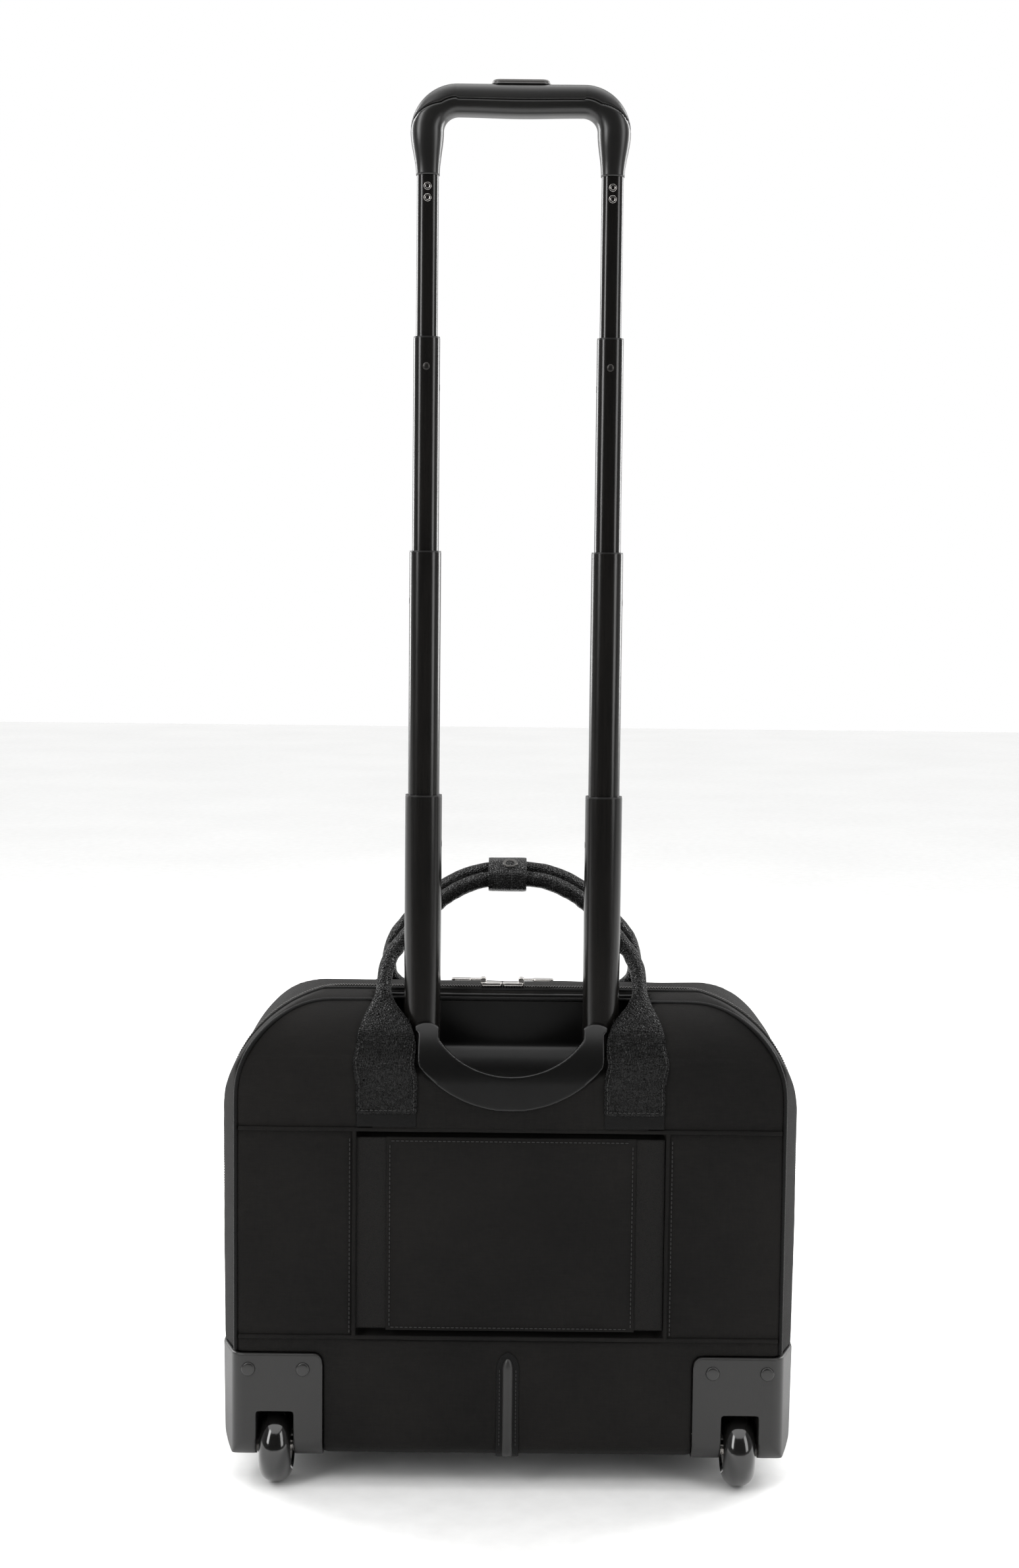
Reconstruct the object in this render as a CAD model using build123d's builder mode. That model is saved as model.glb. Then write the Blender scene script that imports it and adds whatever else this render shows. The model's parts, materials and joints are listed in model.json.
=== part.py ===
"""Rolling laptop case: a soft case on two wheels with a four-stage pull handle.

+Z is up, -Y is the back of the case, where the pull handle and the wheels are, and +Y is the
front. The origin is at the bottom centre of the whole object's box, on the floor. Millimetres.
"""

import math
import os

from build123d import *

os.makedirs("parts", exist_ok=True)

# ---- Case -------------------------------------------------------------------------------
CASE_HALF_WIDTH = 213.0  # at the side gussets
CASE_FOOT_HALF_WIDTH = 208.5  # at the bottom corners
PANEL_HALF_WIDTH = 199.5  # the flat back and front panels
CASE_DEPTH = 190.0
CASE_BOTTOM = 24.0
CASE_CEILING = 368.0  # where the side corners' arcs would end
GUSSET_DEPTH = 35.0  # how far the sides take to swell to their full width
TOP_CORNER_RADIUS = 100.0
BOTTOM_CORNER_RADIUS = 14.0
BACK_Y = -CASE_DEPTH / 2
FRONT_Y = CASE_DEPTH / 2
BACK_STRAIGHT_TOP = 305.0  # the back face starts to round over here
BACK_EDGE = (-36.0, 365.6)  # y, z where the rounded back edge meets the crown
FRONT_EDGE = (62.0, 333.0)  # y, z where the crown meets the rounded front edge
SKIN = 4.0  # padded wall
ZIP_Y = -42.0  # the opening line of the main compartment
LID_HINGE_Z = 70.5
PART_GAP = 0.5  # half the gap between the lid and the rest of the case

# ---- Pull handle ------------------------------------------------------------------------
HANDLE_X = 65.7  # each tube column from the centre
HANDLE_Y = -68.0
TUBE_WIDTHS = {1: 15.6, 2: 19.2, 3: 22.9, 4: 26.9, 5: 30.7}  # 5 is the fixed outer sleeve
TUBE_FLATNESS = 4.5  # width less depth
TUBE_WALL = 1.0
MOUTHS = {1: 990.0, 2: 841.8, 3: 689.6, 4: 513.0, 5: 312.0}  # top of each stage
TUBE_OVERLAP = 35.0
SLEEVE_BOTTOM = 45.0
RUNNING_GAP = 0.2
MOUTH_FLANGE = 1.2
BUSH_LENGTH = 12.0
GRIP_TOP = 1018.5
GRIP_BOTTOM = 954.9
GRIP_HALF_WIDTH = 78.2
GRIP_DEPTH = 23.0
GRIP_CLEARANCE = 0.8
GRIP_SPLIT_Z = 1003.0
BUTTON_LENGTH = 41.0
BUTTON_WIDTH = 11.5
BUTTON_PROUD = 3.0

# ---- Wheels -----------------------------------------------------------------------------
WHEEL_X = 171.3
WHEEL_RADIUS = 27.25
WHEEL_HALF_WIDTH = 11.75
WHEEL_Y = -78.0
POCKET_HALF_WIDTH = 13.7
POCKET_RADIUS = 29.5
POCKET_TOP = 58.8
AXLE_RADIUS = 4.0
BEARING_RADIUS = 11.0
GUARD_INNER_X = 136.0
GUARD_TOP = 102.8
GUARD_CORNER_RADIUS = 7.0
GUARD_FRONT_Y = -47.5
GUARD_PROUD = 2.0
FRONT_POCKET_Y = WHEEL_RADIUS - WHEEL_Y  # as far forward as the wheels reach back

# ---- Trim -------------------------------------------------------------------------------
STRAP_X = 90.1
STRAP_WIDTH = 44.5
STRAP_THICKNESS = 2.8
STRAP_BOTTOM = 272.6
NECK_X = 94.0  # where the straps narrow into the handles' rolls
ROLL_RADIUS = 6.0
PANEL_SEAM_TOP = 269.7
PANEL_SEAM_BOTTOM = 114.7
POCKET_PANEL_HALF = 112.5
WELL_HALF_WIDTH = 92.6
WELL_FRONT_Y = -52.0
HOUSING_BOTTOM = 276.0
FAR = 600.0  # past every face

# Circle of the rounded back edge, tangent to the back face, and of the crown behind it.
back_run = BACK_EDGE[0] - BACK_Y
back_rise = BACK_EDGE[1] - BACK_STRAIGHT_TOP
BACK_ARC_RADIUS = (back_run**2 + back_rise**2) / (2 * back_run)
crown_start = math.asin((BACK_Y + BACK_ARC_RADIUS - BACK_EDGE[0]) / BACK_ARC_RADIUS)
crown_chord = math.dist(BACK_EDGE, FRONT_EDGE)
crown_turn = crown_start + math.atan2(BACK_EDGE[1] - FRONT_EDGE[1], FRONT_EDGE[0] - BACK_EDGE[0])
CROWN_RADIUS = crown_chord / (2 * math.sin(crown_turn))
CROWN_CENTRE_Y = BACK_EDGE[0] + CROWN_RADIUS * math.sin(crown_start)
CROWN_CENTRE_Z = BACK_EDGE[1] - CROWN_RADIUS * math.cos(crown_start)
front_fall = math.asin((FRONT_EDGE[0] - CROWN_CENTRE_Y) / CROWN_RADIUS)
front_run = FRONT_Y - FRONT_EDGE[0]
FRONT_STRAIGHT_TOP = FRONT_EDGE[1] - front_run * math.tan((front_fall + math.pi / 2) / 2)


def crown_height(y):
    """Height of the case's top at y, between its two rounded edges."""
    return CROWN_CENTRE_Z + math.sqrt(CROWN_RADIUS**2 - (y - CROWN_CENTRE_Y) ** 2)


def block(low, high, mode=Mode.ADD):
    """A box between two opposite corners, in the part being built."""
    size = [h - l for l, h in zip(low, high)]
    centre = [(h + l) / 2 for l, h in zip(low, high)]
    with Locations(tuple(centre)):
        Box(*size, mode=mode)


def case_blank(inset):
    """The whole case as one solid, its surface moved inwards by inset."""
    half_length = CASE_HALF_WIDTH + 20.0
    with BuildPart() as blank:
        # Side view: flat back, rounded back edge, crowned top, rounded front edge.
        with BuildSketch(Plane.YZ.offset(-half_length)) as side_view:
            with BuildLine():
                Line((FRONT_Y, CASE_BOTTOM), (BACK_Y, CASE_BOTTOM))
                Line((BACK_Y, CASE_BOTTOM), (BACK_Y, BACK_STRAIGHT_TOP))
                back_arc = TangentArc((BACK_Y, BACK_STRAIGHT_TOP), BACK_EDGE, tangent=(0, 1))
                crown = TangentArc(BACK_EDGE, FRONT_EDGE, tangent=back_arc % 1)
                TangentArc(FRONT_EDGE, (FRONT_Y, FRONT_STRAIGHT_TOP), tangent=crown % 1)
                Line((FRONT_Y, FRONT_STRAIGHT_TOP), (FRONT_Y, CASE_BOTTOM))
            make_face()
            low_corners = side_view.vertices().group_by(Axis.Y)[0]
            fillet(low_corners, radius=BOTTOM_CORNER_RADIUS)
            offset(amount=-inset, kind=Kind.INTERSECTION)
        extrude(amount=2 * half_length)
        # Top view: the sides swell between the flat back and front panels.
        with BuildSketch(Plane.XY) as top_view:
            with BuildLine():
                Polyline(
                    (0, BACK_Y),
                    (PANEL_HALF_WIDTH, BACK_Y),
                    (CASE_HALF_WIDTH, BACK_Y + GUSSET_DEPTH),
                    (CASE_HALF_WIDTH, FRONT_Y - GUSSET_DEPTH),
                    (PANEL_HALF_WIDTH, FRONT_Y),
                    (0, FRONT_Y),
                )
                mirror(about=Plane.YZ)
            make_face()
            swell_corners = top_view.vertices().filter_by(lambda v: abs(v.X) > CASE_HALF_WIDTH - 1)
            fillet(swell_corners, radius=60)
            panel_corners = top_view.vertices().filter_by(lambda v: abs(abs(v.Y) - FRONT_Y) < 0.1)
            fillet(panel_corners, radius=8)
            offset(amount=-inset, kind=Kind.INTERSECTION)
        extrude(amount=FAR, mode=Mode.INTERSECT)
        # Back view: big top corners, and sides that narrow a little to the bottom.
        with BuildSketch(Plane.XZ) as back_view:
            with BuildLine():
                Polyline(
                    (0, CASE_BOTTOM),
                    (CASE_FOOT_HALF_WIDTH, CASE_BOTTOM),
                    (CASE_HALF_WIDTH, 220),
                    (CASE_HALF_WIDTH, CASE_CEILING),
                    (0, CASE_CEILING),
                )
                mirror(about=Plane.YZ)
            make_face()
            fillet(back_view.vertices().group_by(Axis.Y)[-1], radius=TOP_CORNER_RADIUS)
            fillet(back_view.vertices().group_by(Axis.Y)[0], radius=BOTTOM_CORNER_RADIUS)
            offset(amount=-inset, kind=Kind.INTERSECTION)
        extrude(amount=FAR, both=True, mode=Mode.INTERSECT)
    return blank.part


def skin_layer(outer_inset, inner_inset):
    """The layer between two offsets of the case's surface."""
    with BuildPart() as layer:
        add(case_blank(outer_inset))
        add(case_blank(inner_inset), mode=Mode.SUBTRACT)
    return layer.part


def guard_outline(side, grow):
    """Back view of a wheel guard, with a rounded top corner towards the middle."""
    low_x = GUARD_INNER_X - grow
    with BuildSketch() as outline:
        with Locations((side * (low_x + 50), GUARD_TOP + grow - 75)):
            Rectangle(100, 150)
        inner_top = outline.vertices().filter_by(lambda v: abs(v.X) < low_x + 1 and v.Y > GUARD_TOP - 1)
        fillet(inner_top, radius=GUARD_CORNER_RADIUS + grow)
    return outline.sketch


wall = skin_layer(0, SKIN)
case_solid = case_blank(0)
strap_layer = skin_layer(-STRAP_THICKNESS, -0.1)
chain_layer = skin_layer(-1.4, -0.05)

# ======================= Case: the rear half, which carries the handle ======================

rear_front_y = ZIP_Y - PART_GAP
PAN_FACE_Y = -87.0
PAN_BACK_Y = -84.5

# Rear shell: back panel, top and sides behind the zip, with a recess behind the trolley sleeve.
with BuildPart() as rear_shell:
    add(wall)
    block((-FAR, -FAR, -FAR), (FAR, rear_front_y, FAR), mode=Mode.INTERSECT)
    # The pan behind the trolley sleeve panel.
    block((-117, BACK_Y + SKIN, PANEL_SEAM_BOTTOM - 4), (117, PAN_BACK_Y, PANEL_SEAM_TOP + 4))
    block((-113, BACK_Y - 5, PANEL_SEAM_BOTTOM), (113, PAN_FACE_Y, PANEL_SEAM_TOP), mode=Mode.SUBTRACT)
    # Room for the handle housing and the two wheel guards.
    block((-101.3, -FAR, HOUSING_BOTTOM - 0.3), (101.3, -48.2, FAR), mode=Mode.SUBTRACT)
    for side in (-1, 1):
        with BuildSketch(Plane.XZ.offset(-GUARD_FRONT_Y - 0.3)):
            add(guard_outline(side, 0.3))
        extrude(amount=200, mode=Mode.SUBTRACT)
rear_shell.part.label = "rear_shell"
export_step(rear_shell.part, "parts/rear_shell.step")

# Trolley sleeve panel: open above and below, so that the case rides on another case's handle.
with BuildPart() as trolley_sleeve_panel:
    block(
        (-POCKET_PANEL_HALF, BACK_Y - 0.6, PANEL_SEAM_BOTTOM + 6),
        (POCKET_PANEL_HALF, BACK_Y + 1.9, PANEL_SEAM_TOP - 4.7),
    )
trolley_sleeve_panel.part.label = "trolley_sleeve_panel"
export_step(trolley_sleeve_panel.part, "parts/trolley_sleeve_panel.step")

# Back board: a stiff sheet behind the back panel, cut away for the housing and the wheels.
with BuildPart() as back_board:
    with BuildSketch(Plane.XZ.offset(82.3)):
        with Locations((0, 202)):
            Rectangle(380, 196)
        with Locations((0, 68)):
            Rectangle(264, 76)
        with Locations((0, HOUSING_BOTTOM + 48)):
            Rectangle(206, 100, mode=Mode.SUBTRACT)
    extrude(amount=2)
back_board.part.label = "back_board"
export_step(back_board.part, "parts/back_board.step")

# Divider: closes the handle bay off from the main compartment.
with BuildPart() as divider_panel:
    add(case_blank(SKIN + 0.2))
    block((-FAR, -46.5, -FAR), (FAR, -43.5, FAR), mode=Mode.INTERSECT)
divider_panel.part.label = "divider_panel"
export_step(divider_panel.part, "parts/divider_panel.step")

# Strap patches on the back panel and over its rounded top edge, narrowing to the handle's neck.
with BuildPart() as back_straps:
    add(strap_layer)
    with BuildSketch(Plane.XZ) as strap_shape:
        for side in (-1, 1):
            with BuildLine():
                Polyline(
                    (side * (STRAP_X - STRAP_WIDTH / 2), STRAP_BOTTOM),
                    (side * (STRAP_X + STRAP_WIDTH / 2), STRAP_BOTTOM),
                    (side * (STRAP_X + STRAP_WIDTH / 2), 340),
                    (side * (NECK_X + 6), 360),
                    (side * (NECK_X - 6), 360),
                    (side * (STRAP_X - STRAP_WIDTH / 2), 340),
                    close=True,
                )
            make_face()
    extrude(amount=150, mode=Mode.INTERSECT)
    block((-FAR, -FAR, -FAR), (FAR, -60, FAR), mode=Mode.INTERSECT)
    # The retracted grip drops between the two necks.
    grip_side = GRIP_HALF_WIDTH + GRIP_CLEARANCE
    grip_back = HANDLE_Y - GRIP_DEPTH / 2 - GRIP_CLEARANCE
    block((-grip_side, grip_back, -FAR), (grip_side, FAR, FAR), mode=Mode.SUBTRACT)
back_straps.part.label = "back_straps"
export_step(back_straps.part, "parts/back_straps.step")

# Rear piping: a cord in bias tape round the back panel, under the straps.
with BuildPart() as rear_piping:
    add(skin_layer(-2.0, 0.0))
    with BuildSketch(Plane.XZ.offset(BACK_Y * -1 - 49)) as ring:
        with Locations((0, 206)):
            RectangleRounded(2 * PANEL_HALF_WIDTH + 2, 306, 76)
            RectangleRounded(2 * PANEL_HALF_WIDTH - 8, 296, 71, mode=Mode.SUBTRACT)
    extrude(amount=60, mode=Mode.INTERSECT)
    block((-FAR, -FAR, -FAR), (FAR, FAR, GUARD_TOP + 0.3), mode=Mode.SUBTRACT)
    block((-101.3, -FAR, HOUSING_BOTTOM), (101.3, WELL_FRONT_Y, FAR), mode=Mode.SUBTRACT)
    add(back_straps.part, mode=Mode.SUBTRACT)
rear_piping.part.label = "rear_piping"
export_step(rear_piping.part, "parts/rear_piping.step")

# ======================= Case: base =======================================================

# Base tub: bottom and low walls of the main compartment.
with BuildPart() as base_tub:
    add(wall)
    block((0, rear_front_y + 0.05, -FAR), (FAR, FAR, LID_HINGE_Z - PART_GAP), mode=Mode.INTERSECT)
    mirror(about=Plane.YZ)
base_tub.part.label = "base_tub"
export_step(base_tub.part, "parts/base_tub.step")

with BuildPart() as base_board:
    add(case_blank(SKIN + 0.3))
    block((-FAR, -43.3, CASE_BOTTOM + SKIN + 0.3), (FAR, FAR, CASE_BOTTOM + SKIN + 3.3), mode=Mode.INTERSECT)
base_board.part.label = "base_board"
export_step(base_board.part, "parts/base_board.step")

# Two rubber feet at the front, as tall as the wheels hold the back up.
with BuildPart() as front_feet:
    for side in (-1, 1):
        with BuildSketch(Plane.XY):
            with Locations((side * 150, 66)):
                RectangleRounded(36, 18, 6)
        with BuildSketch(Plane.XY.offset(CASE_BOTTOM)):
            with Locations((side * 150, 66)):
                RectangleRounded(46, 26, 8)
        loft()
front_feet.part.label = "front_feet"
export_step(front_feet.part, "parts/front_feet.step")

# Rub strip down the middle of the back and under the bottom.
with BuildPart() as rub_strip:
    add(skin_layer(-1.8, -0.1))
    block((-7.7, -FAR, -FAR), (7.7, -10, 104.8), mode=Mode.INTERSECT)
    with BuildSketch(Plane.XZ.offset(-BACK_Y)):
        with Locations((0, 62)):
            RectangleRounded(8.2, 72, 4)
    extrude(amount=3.6)
rub_strip.part.label = "rub_strip"
export_step(rub_strip.part, "parts/rub_strip.step")

# ======================= Inside the main compartment ======================================

with BuildPart() as laptop_pocket:
    block((-172, -43.3, 31.8), (172, -19, 250))
    block((-166, -44, 37), (166, -25, 260), mode=Mode.SUBTRACT)
laptop_pocket.part.label = "laptop_pocket"
export_step(laptop_pocket.part, "parts/laptop_pocket.step")

with BuildPart() as document_divider:
    with BuildSketch(Plane.XZ.offset(-24)):
        with Locations((0, 128.4)):
            RectangleRounded(370, 193, 10)
    extrude(amount=-3)
document_divider.part.label = "document_divider"
export_step(document_divider.part, "parts/document_divider.step")

# ======================= Handle housing ===================================================

# Housing: a well for the retracted grip, open to the back and the top, with a concave floor.
with BuildPart() as handle_housing:
    add(case_solid)
    block((-101, -FAR, HOUSING_BOTTOM), (101, -48.5, FAR), mode=Mode.INTERSECT)
    with BuildSketch(Plane.YZ.offset(-WELL_HALF_WIDTH)):
        with BuildLine():
            ThreePointArc((-97, 310.5), (-75, 311.5), (WELL_FRONT_Y, 324))
            Polyline((WELL_FRONT_Y, 324), (WELL_FRONT_Y, 420), (-130, 420), (-130, 310.5), (-97, 310.5))
        make_face()
    extrude(amount=2 * WELL_HALF_WIDTH, mode=Mode.SUBTRACT)
    block((-97, -91, 200), (97, -53, 306), mode=Mode.SUBTRACT)
    with BuildSketch(Plane.XY.offset(290)):
        with Locations((-HANDLE_X, HANDLE_Y), (HANDLE_X, HANDLE_Y)):
            SlotOverall(TUBE_WIDTHS[5] + 0.2, TUBE_WIDTHS[5] - TUBE_FLATNESS + 0.2)
    extrude(amount=40, mode=Mode.SUBTRACT)
handle_housing.part.label = "handle_housing"
export_step(handle_housing.part, "parts/handle_housing.step")

# Bezel: a raised crescent below the well, whose horns stand behind the tubes.
with BuildPart() as scoop_bezel:
    add(skin_layer(-2.5, 1.5))
    with BuildSketch(Plane.XZ):
        with BuildLine():
            Line((-53, 344), (-52.5, 336))
            ThreePointArc((-52.5, 336), (0, 310.5), (52.5, 336))
            Line((52.5, 336), (53, 344))
            ThreePointArc((53, 344), (61.5, 347), (70.5, 344))
            Line((70.5, 344), (67.3, 318))
            ThreePointArc((67.3, 318), (0, 285), (-67.3, 318))
            Line((-67.3, 318), (-70.5, 344))
            ThreePointArc((-70.5, 344), (-61.5, 347), (-53, 344))
        make_face()
    extrude(amount=120, mode=Mode.INTERSECT)
    block((-101, BACK_Y - 0.05, 0), (101, 0, 310.5), mode=Mode.SUBTRACT)
    block((-101, HANDLE_Y - 11.6, 0), (101, 0, FAR), mode=Mode.SUBTRACT)
    add(handle_housing.part, mode=Mode.SUBTRACT)
    add(back_straps.part, mode=Mode.SUBTRACT)
scoop_bezel.part.label = "scoop_bezel"
export_step(scoop_bezel.part, "parts/scoop_bezel.step")

# ======================= Pull handle ======================================================


def oval_ring(centre_x, low, high, outer_width, inner_width):
    """A length of oval tube between two heights."""
    with BuildPart() as ring_part:
        with BuildSketch(Plane.XY.offset(low)):
            with Locations((centre_x, HANDLE_Y)):
                SlotOverall(outer_width, outer_width - TUBE_FLATNESS)
                SlotOverall(inner_width, inner_width - TUBE_FLATNESS, mode=Mode.SUBTRACT)
        extrude(amount=high - low)
    return ring_part.part


def stage_bottom(stage):
    """Lower end of a stage, which stays inside the next one."""
    if stage == 5:
        return SLEEVE_BOTTOM
    return MOUTHS[stage + 1] - TUBE_OVERLAP


def mouth_bush(stage, centre_x):
    """Plastic liner in a tube's mouth, with a flange on the rim."""
    width = TUBE_WIDTHS[stage]
    bore = TUBE_WIDTHS[stage - 1] + 2 * RUNNING_GAP
    top = MOUTHS[stage]
    with BuildPart() as bush:
        add(oval_ring(centre_x, top - MOUTH_FLANGE, top, width - 0.3, bore))
        add(oval_ring(centre_x, top - BUSH_LENGTH, top - MOUTH_FLANGE, width - 2 * TUBE_WALL, bore))
    return bush.part


def foot_bush(stage, centre_x):
    """Plastic ring round a moving tube's lower end."""
    width = TUBE_WIDTHS[stage]
    sleeve_bore = TUBE_WIDTHS[stage + 1] - 2 * TUBE_WALL
    bottom = stage_bottom(stage)
    return oval_ring(centre_x, bottom, bottom + BUSH_LENGTH, sleeve_bore - 2 * RUNNING_GAP, width)


for side_name, side in (("left", -1), ("right", 1)):
    for stage in (1, 2, 3, 4):
        top = MOUTHS[stage] if stage == 1 else MOUTHS[stage] - MOUTH_FLANGE
        width = TUBE_WIDTHS[stage]
        with BuildPart() as tube:
            add(oval_ring(side * HANDLE_X, stage_bottom(stage), top, width, width - 2 * TUBE_WALL))
        tube.part.label = f"tube_{stage}_{side_name}"
        export_step(tube.part, f"parts/tube_{stage}_{side_name}.step")
    with BuildPart() as outer_sleeve:
        width = TUBE_WIDTHS[5]
        add(oval_ring(side * HANDLE_X, SLEEVE_BOTTOM, MOUTHS[5] - MOUTH_FLANGE, width, width - 2 * TUBE_WALL))
    outer_sleeve.part.label = f"outer_sleeve_{side_name}"
    export_step(outer_sleeve.part, f"parts/outer_sleeve_{side_name}.step")

for stage in (1, 2, 3, 4, 5):
    with BuildPart() as bushes:
        for side in (-1, 1):
            if stage > 1:
                add(mouth_bush(stage, side * HANDLE_X))
            if stage < 5:
                add(foot_bush(stage, side * HANDLE_X))
    bushes.part.label = f"bushes_{stage}"
    export_step(bushes.part, f"parts/bushes_{stage}.step")

# Bracket that ties the lower ends of the two sleeves together.
with BuildPart() as sleeve_bracket:
    block((-92, -82, CASE_BOTTOM + SKIN + 0.2), (92, -52, 62))
    with BuildSketch(Plane.XY.offset(SLEEVE_BOTTOM)):
        with Locations((-HANDLE_X, HANDLE_Y), (HANDLE_X, HANDLE_Y)):
            SlotOverall(TUBE_WIDTHS[5] + 0.1, TUBE_WIDTHS[5] - TUBE_FLATNESS + 0.1)
    extrude(amount=40, mode=Mode.SUBTRACT)
    block((-44, -90, 36), (44, -45, 70), mode=Mode.SUBTRACT)
sleeve_bracket.part.label = "sleeve_bracket"
export_step(sleeve_bracket.part, "parts/sleeve_bracket.step")

# Lock pins and rivets, shaped to the tube's face so that it still slides into the next one.
LOCK_PIN_SIDE = {2: -1, 3: 1, 4: -1}  # -1 is towards the handle's middle
PIN_PROUD = 0.1
RIVET_Z = 820.5
for stage, towards in LOCK_PIN_SIDE.items():
    width = TUBE_WIDTHS[stage]
    depth = width - TUBE_FLATNESS
    pin_z = MOUTHS[stage] - TUBE_OVERLAP - 1
    with BuildPart() as lock_pins:
        for side in (-1, 1):
            outward = side * towards
            face_x = side * HANDLE_X + outward * (width / 2 + 0.5)
            with BuildSketch(Plane((face_x, HANDLE_Y, pin_z), z_dir=(-outward, 0, 0))):
                Circle(2.2)
            extrude(amount=1.5)
            if stage == 2:
                with BuildSketch(Plane.XZ.offset(-HANDLE_Y + depth / 2 - 1)):
                    with Locations((side * HANDLE_X, RIVET_Z)):
                        Circle(2.8)
                extrude(amount=1.5)
        with BuildSketch(Plane.XY.offset(pin_z - 10)):
            with Locations((-HANDLE_X, HANDLE_Y), (HANDLE_X, HANDLE_Y)):
                SlotOverall(width + 2 * PIN_PROUD, depth + 2 * PIN_PROUD)
        extrude(amount=40, mode=Mode.INTERSECT)
    lock_pins.part.label = f"lock_pins_{stage}"
    export_step(lock_pins.part, f"parts/lock_pins_{stage}.step")

# ---- Grip ----
with BuildPart() as grip_blank:
    with BuildSketch(Plane.XZ.offset(-HANDLE_Y - GRIP_DEPTH / 2)) as grip_outline:
        with BuildLine():
            Polyline(
                (0, GRIP_TOP),
                (60, GRIP_TOP - 1.5),
                (GRIP_HALF_WIDTH - 0.6, GRIP_TOP - 5),
                (GRIP_HALF_WIDTH, 985),
                (HANDLE_X + 8.4, GRIP_BOTTOM),
                (HANDLE_X - 8.4, GRIP_BOTTOM),
                (55.2, 984),
                (54.5, 998.5),
                (0, 995.5),
            )
            mirror(about=Plane.YZ)
        make_face()
        ends = grip_outline.vertices()
        fillet(ends.filter_by(lambda v: abs(v.X) > 77 and v.Y > 1000), radius=16)
        ends = grip_outline.vertices()
        fillet(ends.filter_by(lambda v: 54 < abs(v.X) < 55 and v.Y > 995), radius=7)
    extrude(amount=GRIP_DEPTH)
    # The legs thin towards their lower ends in side view too.
    with BuildSketch(Plane.YZ.offset(-100)):
        with BuildLine():
            Polyline(
                (HANDLE_Y - 6.6, GRIP_BOTTOM),
                (HANDLE_Y + 6.6, GRIP_BOTTOM),
                (HANDLE_Y + GRIP_DEPTH / 2, 992),
                (HANDLE_Y + GRIP_DEPTH / 2, 1010),
                (HANDLE_Y + 6, GRIP_TOP),
                (HANDLE_Y - 6, GRIP_TOP),
                (HANDLE_Y - GRIP_DEPTH / 2, 1010),
                (HANDLE_Y - GRIP_DEPTH / 2, 992),
                close=True,
            )
        make_face()
    extrude(amount=200, mode=Mode.INTERSECT)
    # Sockets for the first tubes, and the channel for the release yoke.
    with BuildSketch(Plane.XY.offset(GRIP_BOTTOM - 1)):
        with Locations((-HANDLE_X, HANDLE_Y), (HANDLE_X, HANDLE_Y)):
            SlotOverall(TUBE_WIDTHS[1] + 0.1, TUBE_WIDTHS[1] - TUBE_FLATNESS + 0.1)
    extrude(amount=MOUTHS[1] + 0.1 - GRIP_BOTTOM + 1, mode=Mode.SUBTRACT)
    block((-69.2, HANDLE_Y - 3.2, 1001), (69.2, HANDLE_Y + 3.2, 1008), mode=Mode.SUBTRACT)
    for side in (-1, 1):
        with Locations((side * HANDLE_X, HANDLE_Y, 996)):
            Cylinder(2.2, 14, mode=Mode.SUBTRACT)
    with BuildSketch(Plane.XY.offset(1004.2)):
        with Locations((0, HANDLE_Y)):
            SlotOverall(BUTTON_LENGTH + 0.8, BUTTON_WIDTH + 0.8)
    extrude(amount=40, mode=Mode.SUBTRACT)

with BuildPart() as grip_core:
    add(grip_blank.part)
    block((-FAR, -FAR, 0), (FAR, FAR, GRIP_SPLIT_Z), mode=Mode.INTERSECT)
grip_core.part.label = "grip_core"
export_step(grip_core.part, "parts/grip_core.step")

with BuildPart() as grip_cover:
    add(grip_blank.part)
    block((-FAR, -FAR, GRIP_SPLIT_Z), (FAR, FAR, 2 * FAR), mode=Mode.INTERSECT)
grip_cover.part.label = "grip_cover"
export_step(grip_cover.part, "parts/grip_cover.step")

with BuildPart() as grip_button:
    with BuildSketch(Plane.XY.offset(1007.6)):
        with Locations((0, HANDLE_Y)):
            SlotOverall(BUTTON_LENGTH, BUTTON_WIDTH)
    extrude(amount=GRIP_TOP + BUTTON_PROUD - 1007.6)
    fillet(grip_button.edges().group_by(Axis.Z)[-1], radius=2)
grip_button.part.label = "grip_button"
export_step(grip_button.part, "parts/grip_button.step")

# Release yoke: the button pushes it, and its two rods run down inside the first tubes.
with BuildPart() as release_yoke:
    block((-68, HANDLE_Y - 2, 1004.5), (68, HANDLE_Y + 2, 1007.5))
    for side in (-1, 1):
        with BuildSketch(Plane.XY.offset(815)):
            with Locations((side * HANDLE_X, HANDLE_Y)):
                Circle(1.5)
        extrude(amount=190)
release_yoke.part.label = "release_yoke"
export_step(release_yoke.part, "parts/release_yoke.step")

with BuildPart() as grip_screws:
    depth = TUBE_WIDTHS[1] - TUBE_FLATNESS
    with BuildSketch(Plane.XZ.offset(-HANDLE_Y + depth / 2 - 0.95)):
        for side in (-1, 1):
            for drop in (8.2, 16.2):
                with Locations((side * HANDLE_X, GRIP_BOTTOM - drop)):
                    Circle(2.5)
    extrude(amount=1.05)
grip_screws.part.label = "grip_screws"
export_step(grip_screws.part, "parts/grip_screws.step")

# ======================= Wheels and guards ================================================


def pocket_profile(grow):
    """Side view of a wheel pocket: square to the back, round to the front."""
    with BuildSketch() as profile:
        with Locations((WHEEL_Y, WHEEL_RADIUS)):
            Circle(POCKET_RADIUS + grow)
        with Locations((WHEEL_Y - 20, POCKET_TOP / 2 - 5 + grow / 2)):
            Rectangle(40, POCKET_TOP + 10 + grow)
    return profile.sketch


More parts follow.
